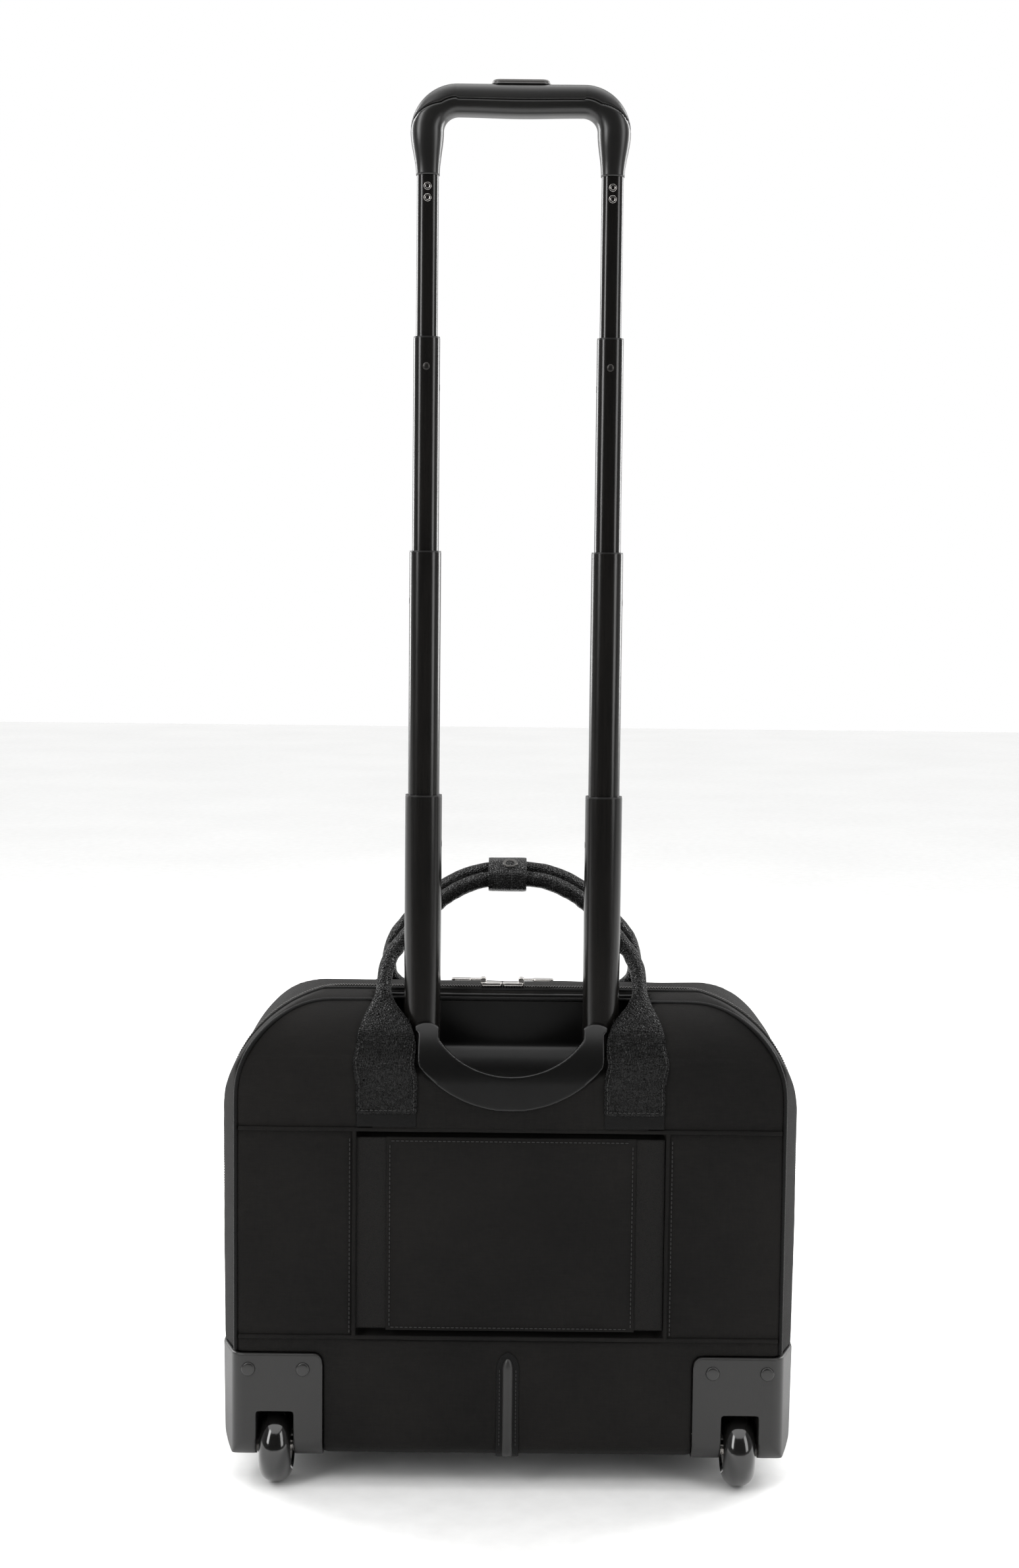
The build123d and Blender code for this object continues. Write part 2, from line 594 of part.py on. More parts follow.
guard_skin = skin_layer(-GUARD_PROUD, 1.5)
guard_limit = case_blank(-GUARD_PROUD)
for side_name, side in (("left", -1), ("right", 1)):
    centre_x = side * WHEEL_X
    inner_x = side * GUARD_INNER_X
    outer_x = side * 230
    with BuildPart() as pocket_wall:
        with BuildSketch(Plane.YZ.offset(centre_x - POCKET_HALF_WIDTH - 3)):
            add(pocket_profile(1.1))
        extrude(amount=2 * POCKET_HALF_WIDTH + 6)
        # Bosses that hold the axle's ends.
        for end in (-1, 1):
            with BuildSketch(Plane.YZ.offset(centre_x + end * POCKET_HALF_WIDTH)):
                with Locations((WHEEL_Y, WHEEL_RADIUS)):
                    Circle(8)
            extrude(amount=end * 8)
        add(guard_limit, mode=Mode.INTERSECT)
    with BuildPart() as wheel_guard:
        add(guard_skin)
        with BuildSketch(Plane.XZ.offset(-GUARD_FRONT_Y)):
            add(guard_outline(side, 0))
        extrude(amount=200, mode=Mode.INTERSECT)
        add(pocket_wall.part)
        with BuildSketch(Plane.YZ.offset(centre_x - POCKET_HALF_WIDTH)):
            add(pocket_profile(0))
        extrude(amount=2 * POCKET_HALF_WIDTH, mode=Mode.SUBTRACT)
        with BuildSketch(Plane.YZ.offset(centre_x - 23)):
            with Locations((WHEEL_Y, WHEEL_RADIUS)):
                Circle(AXLE_RADIUS)
        extrude(amount=46, mode=Mode.SUBTRACT)
    wheel_guard.part.label = f"wheel_guard_{side_name}"
    export_step(wheel_guard.part, f"parts/wheel_guard_{side_name}.step")

    wheel_plane = Plane((centre_x, WHEEL_Y, WHEEL_RADIUS), x_dir=(1, 0, 0), z_dir=(0, -1, 0))
    wheel_axis = Axis((centre_x, WHEEL_Y, WHEEL_RADIUS), (1, 0, 0))
    with BuildPart() as tyre:
        with BuildSketch(wheel_plane):
            with BuildLine():
                Line((-10, 17), (10, 17))
                Line((10, 17), (WHEEL_HALF_WIDTH, 19))
                ThreePointArc((WHEEL_HALF_WIDTH, 19), (7.6, 25.1), (0, WHEEL_RADIUS))
                ThreePointArc((0, WHEEL_RADIUS), (-7.6, 25.1), (-WHEEL_HALF_WIDTH, 19))
                Line((-WHEEL_HALF_WIDTH, 19), (-10, 17))
            make_face()
        revolve(axis=wheel_axis)
    tyre.part.label = f"wheel_tyre_{side_name}"
    export_step(tyre.part, f"parts/wheel_tyre_{side_name}.step")

    with BuildPart() as hub:
        with BuildSketch(wheel_plane):
            with Locations((0, 14)):
                Rectangle(20, 6)
            with Locations((0, 8)):
                Rectangle(7, 6.2)
        revolve(axis=wheel_axis)
        with BuildSketch(Plane.YZ.offset(centre_x - 12)):
            with Locations((WHEEL_Y, WHEEL_RADIUS)):
                with PolarLocations(14, 6):
                    Circle(1.7)
        extrude(amount=24, mode=Mode.SUBTRACT)
    hub.part.label = f"wheel_hub_{side_name}"
    export_step(hub.part, f"parts/wheel_hub_{side_name}.step")

    with BuildPart() as bearings:
        with BuildSketch(wheel_plane):
            with Locations((-7.3, 7.5), (7.3, 7.5)):
                Rectangle(7, 6.92)
        revolve(axis=wheel_axis)
    bearings.part.label = f"wheel_bearings_{side_name}"
    export_step(bearings.part, f"parts/wheel_bearings_{side_name}.step")

# Axles, with shoulders that keep the bearings in the middle of the pockets.
with BuildPart() as wheel_axles:
    for side in (-1, 1):
        centre_x = side * WHEEL_X
        with BuildSketch(Plane.YZ.offset(centre_x - 22)):
            with Locations((WHEEL_Y, WHEEL_RADIUS)):
                Circle(AXLE_RADIUS)
        extrude(amount=44)
        for end in (-1, 1):
            with BuildSketch(Plane.YZ.offset(centre_x + end * 10.9)):
                with Locations((WHEEL_Y, WHEEL_RADIUS)):
                    Circle(5.4)
            extrude(amount=end * 2.75)
wheel_axles.part.label = "wheel_axles"
export_step(wheel_axles.part, "parts/wheel_axles.step")

with BuildPart() as guard_rivets:
    for rivet_x in (-190.5, -150.5, 150.5, 190.5):
        with BuildSketch(Plane.XZ.offset(-BACK_Y + GUARD_PROUD + 0.05)):
            with Locations((rivet_x, 90.9)):
                Circle(5.1)
        extrude(amount=1.8, taper=25)
guard_rivets.part.label = "guard_rivets"
export_step(guard_rivets.part, "parts/guard_rivets.step")

# ======================= Lid: the front of the case =======================================

with BuildPart() as lid_shell:
    add(wall)
    block((-FAR, ZIP_Y + PART_GAP, LID_HINGE_Z + PART_GAP), (FAR, FAR, FAR), mode=Mode.INTERSECT)
lid_shell.part.label = "lid_shell"
export_step(lid_shell.part, "parts/lid_shell.step")

# Slip pocket on the lid's front, open at its top.
with BuildPart() as front_pocket:
    with BuildSketch(Plane.XZ.offset(-FRONT_Y - 0.1)):
        with Locations((0, 177)):
            RectangleRounded(300, 170, 18)
    extrude(amount=-(FRONT_POCKET_Y - FRONT_Y - 0.1))
    fillet(front_pocket.faces().sort_by(Axis.Y)[-1].edges(), radius=6)
    with BuildSketch(Plane.XZ.offset(-FRONT_Y)):
        with Locations((0, 187)):
            Rectangle(292, 182)
        with Locations((-146, 96), (146, 96)):
            Rectangle(30, 30, rotation=45, mode=Mode.SUBTRACT)
    extrude(amount=-(FRONT_POCKET_Y - FRONT_Y - 2.2), mode=Mode.SUBTRACT)
front_pocket.part.label = "front_pocket"
export_step(front_pocket.part, "parts/front_pocket.step")

# ======================= Zip ==============================================================

chain_y = ZIP_Y + PART_GAP + 0.2
with BuildPart() as zip_chain_rear:
    add(chain_layer)
    with BuildSketch(Plane.YZ.offset(-FAR)):
        with BuildLine():
            low_z = LID_HINGE_Z - 0.4
            Polyline(
                (-45.4, 400),
                (-45.4, low_z - 2.7),
                (88, low_z - 2.7),
                (88, low_z),
                (-42.7, low_z),
                (-42.7, 400),
                close=True,
            )
        make_face()
    extrude(amount=2 * FAR, mode=Mode.INTERSECT)
zip_chain_rear.part.label = "zip_chain_rear"
export_step(zip_chain_rear.part, "parts/zip_chain_rear.step")

with BuildPart() as zip_chain_lid:
    add(chain_layer)
    with BuildSketch(Plane.YZ.offset(-FAR)):
        with BuildLine():
            high_z = LID_HINGE_Z + 0.6
            Polyline(
                (chain_y, 400),
                (chain_y, high_z),
                (88, high_z),
                (88, high_z + 2.7),
                (chain_y + 2.7, high_z + 2.7),
                (chain_y + 2.7, 400),
                close=True,
            )
        make_face()
    extrude(amount=2 * FAR, mode=Mode.INTERSECT)
zip_chain_lid.part.label = "zip_chain_lid"
export_step(zip_chain_lid.part, "parts/zip_chain_lid.step")

# Two sliders, nose to nose, each with a pull that lies outwards.
SLIDER_MEET_X = -7.0
SLIDER_LENGTH = 16.3
SLIDER_FLOOR = 367.9
PULL_PIN_Z = SLIDER_FLOOR + 4.4
PULL_LENGTH = 24.0
for side_name, side in (("left", -1), ("right", 1)):
    near_x = SLIDER_MEET_X + side * 0.2
    far_x = SLIDER_MEET_X + side * SLIDER_LENGTH
    pin_x = far_x - side * 2.2
    with BuildPart() as slider:
        centre = (near_x + far_x) / 2
        with BuildSketch(Plane.XY.offset(SLIDER_FLOOR)):
            with Locations((centre, ZIP_Y)):
                RectangleRounded(SLIDER_LENGTH - 0.2, 8.4, 2)
        extrude(amount=2.2)
        for lug in (-1, 1):
            with BuildSketch(Plane.XZ.offset(-(ZIP_Y + lug * 3.1) - 0.6)):
                with Locations((pin_x, PULL_PIN_Z - 0.6)):
                    RectangleRounded(4, 4.4, 1.2)
            extrude(amount=1.2)
        with BuildSketch(Plane.XZ.offset(-ZIP_Y - 3.7)):
            with Locations((pin_x, PULL_PIN_Z)):
                Circle(0.8)
        extrude(amount=7.4)
    slider.part.label = f"zip_slider_{side_name}"
    export_step(slider.part, f"parts/zip_slider_{side_name}.step")

    with BuildPart() as pull:
        with BuildSketch(Plane.XZ.offset(-ZIP_Y - 2.1)):
            with Locations((pin_x, PULL_PIN_Z)):
                Circle(1.9)
            with Locations((pin_x + side * 5, PULL_PIN_Z)):
                Rectangle(10, 1.5)
            with Locations((pin_x, PULL_PIN_Z)):
                Circle(1.1, mode=Mode.SUBTRACT)
        extrude(amount=4.2)
        with BuildSketch(Plane.XY.offset(PULL_PIN_Z - 0.75)):
            with Locations((pin_x + side * (PULL_LENGTH / 2 + 4), ZIP_Y)):
                RectangleRounded(PULL_LENGTH - 8, 7, 3)
        extrude(amount=1.5)
    pull.part.label = f"zip_pull_{side_name}"
    export_step(pull.part, f"parts/zip_pull_{side_name}.step")

# ======================= Leather straps and carry handles =================================

with BuildPart() as front_straps:
    add(strap_layer)
    with BuildSketch(Plane.XY.offset(STRAP_BOTTOM)):
        for side in (-1, 1):
            with BuildLine():
                Polyline(
                    (side * (NECK_X - 6), 8),
                    (side * (NECK_X + 6), 8),
                    (side * (STRAP_X + STRAP_WIDTH / 2), 42),
                    (side * (STRAP_X + STRAP_WIDTH / 2), 150),
                    (side * (STRAP_X - STRAP_WIDTH / 2), 150),
                    (side * (STRAP_X - STRAP_WIDTH / 2), 42),
                    close=True,
                )
            make_face()
    extrude(amount=150, mode=Mode.INTERSECT)
front_straps.part.label = "front_straps"
export_step(front_straps.part, "parts/front_straps.step")


def handle_roll(points):
    """A round leather roll along half a route, and its mirror image."""
    mirrored = [(-x, y, z) for x, y, z in reversed(points)]
    route = mirrored + list(points)
    with BuildPart() as roll:
        with BuildLine():
            path = FilletPolyline(*route, radius=16)
        with BuildSketch(Plane(path @ 0, z_dir=path % 0)):
            Circle(ROLL_RADIUS)
        sweep()
    return roll.part


NEAR_ROLL = (-34.0, 445.5)  # y, z of the back handle at its middle
FAR_ROLL = (-20.5, 451.0)  # y, z of the front handle at its middle
with BuildPart() as back_handle_roll:
    add(
        handle_roll(
            [
                (24, NEAR_ROLL[0], NEAR_ROLL[1]),
                (51, -36.5, 433),
                (81, -43.5, 399),
                (93, -55, 382),
                (NECK_X, -65.5, 368.3),
            ]
        )
    )
back_handle_roll.part.label = "back_handle_roll"
export_step(back_handle_roll.part, "parts/back_handle_roll.step")

with BuildPart() as front_handle_roll:
    add(
        handle_roll(
            [
                (24, FAR_ROLL[0], FAR_ROLL[1]),
                (51, -19, 439),
                (82, -11, 408),
                (93, -1, 391),
                (NECK_X, 8, crown_height(8) + STRAP_THICKNESS + ROLL_RADIUS + 1.2),
            ]
        )
    )
front_handle_roll.part.label = "front_handle_roll"
export_step(front_handle_roll.part, "parts/front_handle_roll.step")

# Wrap: round the back roll, with a tongue that lies over the front roll.
with BuildPart() as handle_wrap:
    with BuildSketch(Plane.YZ.offset(-18.2)):
        with Locations(NEAR_ROLL):
            Circle(ROLL_RADIUS + 2)
        with Locations(FAR_ROLL):
            Circle(ROLL_RADIUS + 3.1)
        make_hull()
        with Locations(NEAR_ROLL):
            Circle(ROLL_RADIUS + 0.1, mode=Mode.SUBTRACT)
        with Locations(FAR_ROLL):
            Circle(ROLL_RADIUS + 1.3, mode=Mode.SUBTRACT)
        with Locations((FAR_ROLL[0] + 15, FAR_ROLL[1])):
            Rectangle(30, 40, mode=Mode.SUBTRACT)
        with Locations((FAR_ROLL[0] - 2.5, FAR_ROLL[1] - 10)):
            Rectangle(10, 20, mode=Mode.SUBTRACT)
    extrude(amount=28.4)
handle_wrap.part.label = "handle_wrap"
export_step(handle_wrap.part, "parts/handle_wrap.step")
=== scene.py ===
"""Looks of the rolling laptop case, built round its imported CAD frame. Metres, in the CAD's frame:
+Z is up, -Y is the back, where the pull handle and the wheels are, and +X is the right from behind."""

import json
import math

import bmesh
import bpy
import numpy as np
from mathutils import Matrix, Vector, noise
from mathutils.bvhtree import BVHTree

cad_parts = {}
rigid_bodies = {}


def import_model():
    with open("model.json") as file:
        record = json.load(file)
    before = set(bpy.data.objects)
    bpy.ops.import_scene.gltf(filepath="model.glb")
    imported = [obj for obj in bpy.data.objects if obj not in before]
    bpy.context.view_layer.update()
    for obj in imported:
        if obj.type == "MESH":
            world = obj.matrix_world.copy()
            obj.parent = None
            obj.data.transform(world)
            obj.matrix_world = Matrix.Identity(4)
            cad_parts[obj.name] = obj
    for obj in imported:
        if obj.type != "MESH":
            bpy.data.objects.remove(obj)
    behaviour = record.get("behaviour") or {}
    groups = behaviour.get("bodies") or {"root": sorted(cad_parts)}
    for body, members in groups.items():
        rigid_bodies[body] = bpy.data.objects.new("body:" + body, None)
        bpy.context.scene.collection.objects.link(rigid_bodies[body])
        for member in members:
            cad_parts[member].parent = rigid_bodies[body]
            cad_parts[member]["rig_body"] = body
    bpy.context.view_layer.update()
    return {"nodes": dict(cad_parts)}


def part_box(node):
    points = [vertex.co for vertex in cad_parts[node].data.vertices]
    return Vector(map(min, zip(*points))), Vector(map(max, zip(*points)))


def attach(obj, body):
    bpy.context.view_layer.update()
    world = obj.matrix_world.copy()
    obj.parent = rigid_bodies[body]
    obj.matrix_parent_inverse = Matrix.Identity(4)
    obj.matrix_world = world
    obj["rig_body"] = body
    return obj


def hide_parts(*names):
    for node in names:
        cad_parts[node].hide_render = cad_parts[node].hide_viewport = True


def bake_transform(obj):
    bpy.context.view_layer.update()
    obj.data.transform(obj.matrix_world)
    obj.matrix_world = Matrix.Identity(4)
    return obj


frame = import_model()
NODES = frame["nodes"]
MM = 0.001
BODY_OF = {name: node["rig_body"] for name, node in NODES.items()}


# ======== Sizes, from the frame ========

REAR_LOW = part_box("rear_shell")[0]
SLEEVE_LOW, SLEEVE_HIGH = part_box("trolley_sleeve_panel")
STRAP_LOW, STRAP_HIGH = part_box("back_straps")
GUARD_LOW, GUARD_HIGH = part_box("wheel_guard_right")
STRIP_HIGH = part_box("rub_strip")[1]
GRIP_LOW, GRIP_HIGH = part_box("grip_core")
COVER_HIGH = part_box("grip_cover")[1]
TUBE_LOW, TUBE_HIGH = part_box("tube_1_right")
BUTTON_LOW, BUTTON_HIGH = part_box("grip_button")
WRAP_LOW, WRAP_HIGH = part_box("handle_wrap")
POCKET_LOW, POCKET_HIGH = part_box("front_pocket")

BACK_Y = REAR_LOW.y
FRONT_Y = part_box("lid_shell")[1].y
HANDLE_X = (TUBE_LOW.x + TUBE_HIGH.x) / 2
HANDLE_Y = (TUBE_LOW.y + TUBE_HIGH.y) / 2
STRAP_X = 90.1 * MM  # middle of each strap
STRAP_HALF = STRAP_HIGH.x - STRAP_X
ZIP_Y = -42 * MM
SEAM_TOP = SLEEVE_HIGH.z + 4.7 * MM
SEAM_BOTTOM = SLEEVE_LOW.z - 6 * MM
SEAM_SIDE = SLEEVE_HIGH.x
PANEL_HALF = 199.5 * MM
PIPING_HALF = 200 * MM
PIPING_TOP = 359.4 * MM
FRONT_PIPING_TOP = 331 * MM
CASE_CENTRE = (0, 0, 0.19)


# ======== Materials ========


def calc(tree, operation, a, b=0.0):
    """A Math node's result. a and b are sockets or numbers."""
    made = tree.nodes.new("ShaderNodeMath")
    made.operation = operation
    for socket, value in zip(made.inputs, (a, b)):
        if isinstance(value, (int, float)):
            socket.default_value = value
        else:
            tree.links.new(value, socket)
    return made.outputs[0]


def stretched(tree, scale):
    """Object coordinates, which are the CAD's, stretched along each axis."""
    place = tree.nodes.new("ShaderNodeTexCoord")
    mapping = tree.nodes.new("ShaderNodeMapping")
    mapping.inputs["Scale"].default_value = scale
    tree.links.new(place.outputs["Object"], mapping.inputs["Vector"])
    return mapping.outputs[0]


def speckle(tree, scale, detail=2.0, rough=0.55):
    """Noise from 0 to 1, scale features in a metre along each axis."""
    made = tree.nodes.new("ShaderNodeTexNoise")
    made.inputs["Scale"].default_value = 1.0
    made.inputs["Detail"].default_value = detail
    made.inputs["Roughness"].default_value = rough
    tree.links.new(stretched(tree, scale), made.inputs["Vector"])
    return made.outputs["Fac"]


def cells(tree, per_metre, feature):
    """Voronoi cells, per_metre of them in a metre."""
    made = tree.nodes.new("ShaderNodeTexVoronoi")
    made.feature = feature
    made.inputs["Scale"].default_value = 1.0
    tree.links.new(stretched(tree, (per_metre,) * 3), made.inputs["Vector"])
    return made.outputs["Distance"]


def fitted(tree, value, low, high, to_low, to_high):
    """value carried from one range to another."""
    made = tree.nodes.new("ShaderNodeMapRange")
    tree.links.new(value, made.inputs["Value"])
    for socket, number in zip(list(made.inputs)[1:5], (low, high, to_low, to_high)):
        socket.default_value = number
    return made.outputs["Result"]


def weave(pitch, streak):
    """Plain weave whose threads are pitch apart, with slubs streak long both ways."""

    def height(tree):
        place = tree.nodes.new("ShaderNodeTexCoord")
        split = tree.nodes.new("ShaderNodeSeparateXYZ")
        tree.links.new(place.outputs["Object"], split.inputs[0])
        turn = 2 * math.pi / pitch
        across = calc(tree, "ADD", split.outputs["X"], split.outputs["Y"])
        along = calc(tree, "ADD", split.outputs["Z"], split.outputs["Y"])
        wave_a = calc(tree, "SINE", calc(tree, "MULTIPLY", across, turn))
        wave_b = calc(tree, "SINE", calc(tree, "MULTIPLY", along, turn))
        threads = calc(tree, "MULTIPLY_ADD", calc(tree, "MULTIPLY", wave_a, wave_b), 0.5)
        threads.node.inputs[2].default_value = 0.5
        fine = 1 / pitch
        slow = 1 / streak
        warp = speckle(tree, (fine, fine, slow), 3.0)
        weft = speckle(tree, (slow, slow, fine), 3.0)
        slubs = calc(tree, "MULTIPLY", calc(tree, "ADD", warp, weft), 0.5)
        return calc(tree, "ADD", calc(tree, "MULTIPLY", threads, 0.35), calc(tree, "MULTIPLY", slubs, 0.65))

    return height


def pebbles(size):
    """Leather grain: rounded pebbles with creases between them."""

    def height(tree):
        domes = fitted(tree, cells(tree, 1 / size, "DISTANCE_TO_EDGE"), 0.0, 0.32, 0.0, 1.0)
        pores = speckle(tree, (3 / size,) * 3, 2.0)
        return calc(tree, "ADD", calc(tree, "MULTIPLY", domes, 0.75), calc(tree, "MULTIPLY", pores, 0.25))

    return height


def grain(size, stretch=(1, 1, 1)):
    """Moulded or brushed grain."""

    def height(tree):
        return speckle(tree, tuple(axis / size for axis in stretch), 4.0, 0.6)

    return height


def material(name, dark, light, rough, height, bump, blotch=(9, 9, 9), **sockets):
    """Principled material. dark and light are the ends of its colour, rough those of its roughness,
    height its surface from 0 to 1, bump how deep that is, blotch the slow variation in a metre."""
    made = bpy.data.materials.new(name)
    made.use_nodes = True
    tree = made.node_tree
    shader = tree.nodes["Principled BSDF"]
    for key, value in sockets.items():
        shader.inputs[key.replace("_", " ")].default_value = value
    surface = height(tree)
    slow = speckle(tree, blotch, 3.0)
    worn = calc(tree, "ADD", calc(tree, "MULTIPLY", surface, 0.6), calc(tree, "MULTIPLY", slow, 0.4))
    colours = tree.nodes.new("ShaderNodeValToRGB")
    for end, place, colour in zip(colours.color_ramp.elements, (0.36, 0.64), (dark, light)):
        end.position, end.color = place, (*colour, 1)
    tree.links.new(worn, colours.inputs[0])
    tree.links.new(colours.outputs[0], shader.inputs["Base Color"])
    tree.links.new(fitted(tree, worn, 0.25, 0.75, *rough), shader.inputs["Roughness"])
    relief = tree.nodes.new("ShaderNodeBump")
    relief.inputs["Distance"].default_value = bump
    relief.inputs["Strength"].default_value = 1.0
    tree.links.new(surface, relief.inputs["Height"])
    tree.links.new(relief.outputs[0], shader.inputs["Normal"])
    return made


def grey(value, warm=0.04):
    """A near-black or grey, a touch warmer than neutral."""
    return (value * (1 + warm), value, value * (1 - warm))


def plain(name, dark, light, rough, size, bump, **sockets):
    """Grey material with fine grain, size across and bump deep, both in mm."""
    return material(name, grey(dark), grey(light), rough, grain(size * MM), bump * MM, **sockets)


NYLON = material(
    "melange_nylon", grey(0.0006), grey(0.0092, 0.09), (0.6, 0.85), weave(0.9 * MM, 9 * MM), 0.4 * MM,
    Sheen_Weight=0.02, Sheen_Roughness=0.4, Specular_IOR_Level=0.13,
)
GRAINED = material(
    "grained_fabric", grey(0.0012), grey(0.009, 0.12), (0.55, 0.75), pebbles(0.9 * MM), 0.2 * MM,
    Sheen_Weight=0.02, Specular_IOR_Level=0.16,
)
LINING = material(
    "lining_twill", grey(0.020), grey(0.045), (0.6, 0.8), weave(0.6 * MM, 4 * MM), 0.1 * MM,
    Sheen_Weight=0.15,
)
LEATHER = material(
    "pebbled_leather", grey(0.0005), grey(0.003), (0.2, 0.34), pebbles(1.6 * MM), 0.85 * MM,
    Specular_IOR_Level=0.2,
)
PATCH_LEATHER = material(
    "plain_leather", grey(0.0008), grey(0.0026), (0.36, 0.5), pebbles(0.7 * MM), 0.14 * MM,
    Specular_IOR_Level=0.14,
)
MOULDED = plain("moulded_plastic", 0.001, 0.0026, (0.26, 0.36), 0.45, 0.05, Specular_IOR_Level=0.35)
GUARD_PLASTIC = plain("guard_plastic", 0.006, 0.0115, (0.36, 0.5), 0.6, 0.06)
ANODISED = material(
    "anodised_tube", grey(0.003), grey(0.008, 0.12), (0.19, 0.27), grain(0.5 * MM, (1, 1, 0.02)), 0.02 * MM,
    Metallic=0.2, Coat_Weight=0.2, Coat_Roughness=0.16,
)
GRIP_PLASTIC = plain(
    "grip_plastic", 0.005, 0.011, (0.28, 0.38), 0.4, 0.03, Coat_Weight=0.1, Coat_Roughness=0.25
)
GRIP_SOFT = plain("grip_soft_cover", 0.006, 0.012, (0.38, 0.5), 0.35, 0.03)
BUTTON_PLASTIC = plain("button_plastic", 0.05, 0.09, (0.35, 0.45), 0.4, 0.03)
BUSH_PLASTIC = plain("bush_plastic", 0.006, 0.012, (0.35, 0.45), 0.4, 0.02)
CHROME = plain("nickel_plate", 0.42, 0.62, (0.14, 0.26), 0.8, 0.01, Metallic=1.0)
DARK_METAL = plain("blackened_steel", 0.03, 0.07, (0.28, 0.42), 0.5, 0.02, Metallic=0.9)
TYRE = plain(
    "polyurethane_tyre", 0.003, 0.006, (0.1, 0.2), 1.2, 0.01, Coat_Weight=0.6, Coat_Roughness=0.08
)
RUBBER = plain("foot_rubber", 0.012, 0.024, (0.55, 0.7), 0.6, 0.06)
BOARD = plain("board_plastic", 0.02, 0.035, (0.5, 0.6), 0.8, 0.05)
THREAD = plain("bonded_thread", 0.004, 0.014, (0.4, 0.55), 0.15, 0.03)
TAPE = material(
    "zip_tape", grey(0.002), grey(0.006), (0.6, 0.75), weave(0.5 * MM, 2 * MM), 0.08 * MM,
)


# ======== Mesh helpers ========


def wear(obj, look, body, slot, *replaced):
    """Gives a finished piece its material and its body, and hides the nodes that it stands for. Its slot is
    not used.
    """
    obj.data.materials.clear()
    obj.data.materials.append(look)
    for face in obj.data.polygons:
        face.material_index = 0
        face.use_smooth = True
    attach(obj, body)
    if replaced:
        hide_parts(*replaced)
    return obj


def mesh_object(name, points, faces):
    """An object from points and faces, linked to the scene."""
    mesh = bpy.data.meshes.new(name)
    mesh.from_pydata([tuple(p) for p in points], [], [tuple(f) for f in faces])
    mesh.update()
    made = bpy.data.objects.new(name, mesh)
    bpy.context.scene.collection.objects.link(made)
    return made


def outward(obj):
    """Turns a closed mesh's faces outwards."""
    work = bmesh.new()
    work.from_mesh(obj.data)
    bmesh.ops.recalc_face_normals(work, faces=work.faces)
    work.to_mesh(obj.data)
    work.free()
    return obj


def modified(obj, kind, **settings):
    """Adds a modifier and applies it at once."""
    made = obj.modifiers.new(kind.lower(), kind)
    for key, value in settings.items():
        setattr(made, key, value)
    bpy.context.view_layer.update()
    graph = bpy.context.evaluated_depsgraph_get()
    baked = bpy.data.meshes.new_from_object(obj.evaluated_get(graph))
    obj.modifiers.clear()
    obj.data = baked
    return obj


def read(rows, key):
    """A key of a mesh's points or point normals as an array."""
    flat = np.empty(len(rows) * 3, np.float32)
    rows.foreach_get(key, flat)
    return flat.reshape(-1, 3).astype(float)


def set_coordinates(obj, points):
    """Puts a mesh's points in new places."""
    obj.data.vertices.foreach_set("co", points.astype(np.float32).ravel())
    obj.data.update()


def push_out(obj, shape):
    """Moves a mesh's points along their normals, as far as shape(points, normals) says."""
    points, out = read(obj.data.vertices, "co"), read(obj.data.vertex_normals, "vector")
    set_coordinates(obj, points + out * shape(points, out)[:, None])


def rounded(node, voxel, passes, name=None):
    """A copy of a CAD node with its edges rounded: remeshed, then smoothed."""
    made = bpy.data.objects.new(name or node + "_skin", NODES[node].data.copy())
    bpy.context.scene.collection.objects.link(made)
    work = bmesh.new()
    work.from_mesh(made.data)
    bmesh.ops.remove_doubles(work, verts=work.verts, dist=1e-6)
    work.to_mesh(made.data)
    work.free()
    modified(made, "REMESH", mode="VOXEL", voxel_size=voxel, adaptivity=0.0)
    modified(made, "SMOOTH", factor=0.5, iterations=passes)
    return made


def ripple(points, size, seed):
    """Smooth noise from -1 to 1 at each point, whose bumps are about size across."""
    shift = Vector((seed * 7.3, seed * 3.1, seed * 5.7))
    return np.array([noise.noise(Vector(p) / size + shift) for p in points])


def ramp(value, width=1.0):
    """0 at or below 0, rising evenly to 1 at width and beyond."""
    return np.clip(value / width, 0, 1)


def near(value, centre, half):
    """1 at centre, falling smoothly to 0 at half away from it."""
    share = ramp(np.abs(value - centre), half)
    return (1 - share**2) ** 2


def between(value, low, high, soft):
    """1 from low to high, with soft ends outside them."""
    rise = ramp(value - low + soft, soft)
    fall = ramp(high - value + soft, soft)
    return rise * rise * (3 - 2 * rise) * fall * fall * (3 - 2 * fall)


def line_through(points, step):
    """A smooth line through points, as an array of places about step apart."""
    pts = np.array([points[0], *points, points[-1]], float)
    made = []
    for a, b, c, d in zip(pts, pts[1:], pts[2:], pts[3:]):
        count = max(1, int(round(np.linalg.norm(c - b) / step)))
        for i in range(count):
            t = i / count
            square, cube = 2 * a - 5 * b + 4 * c - d, 3 * b - a - 3 * c + d
            made.append(0.5 * (2 * b + (c - a) * t + square * t**2 + cube * t**3))
    made.append(pts[-1])
    return np.array(made)


def directions(path):
    """Unit direction of a path at each of its points."""
    ahead = np.gradient(path, axis=0)
    return ahead / np.linalg.norm(ahead, axis=1)[:, None]


def unit(vectors):
    return vectors / np.maximum(np.linalg.norm(vectors, axis=-1, keepdims=True), 1e-12)


def tube_faces(rows, count, first=0, capped=True):
    """Faces round rows of count points, and across the first and the last row where capped."""
    faces = []
    for i in range(rows - 1):
        low = first + i * count
        for j in range(count):
            k = (j + 1) % count
            faces.append((low + j, low + k, low + count + k, low + count + j))
    if capped:
        last = first + (rows - 1) * count
        faces.append(tuple(range(first, first + count))[::-1])
        faces.append(tuple(range(last, last + count)))
    return faces


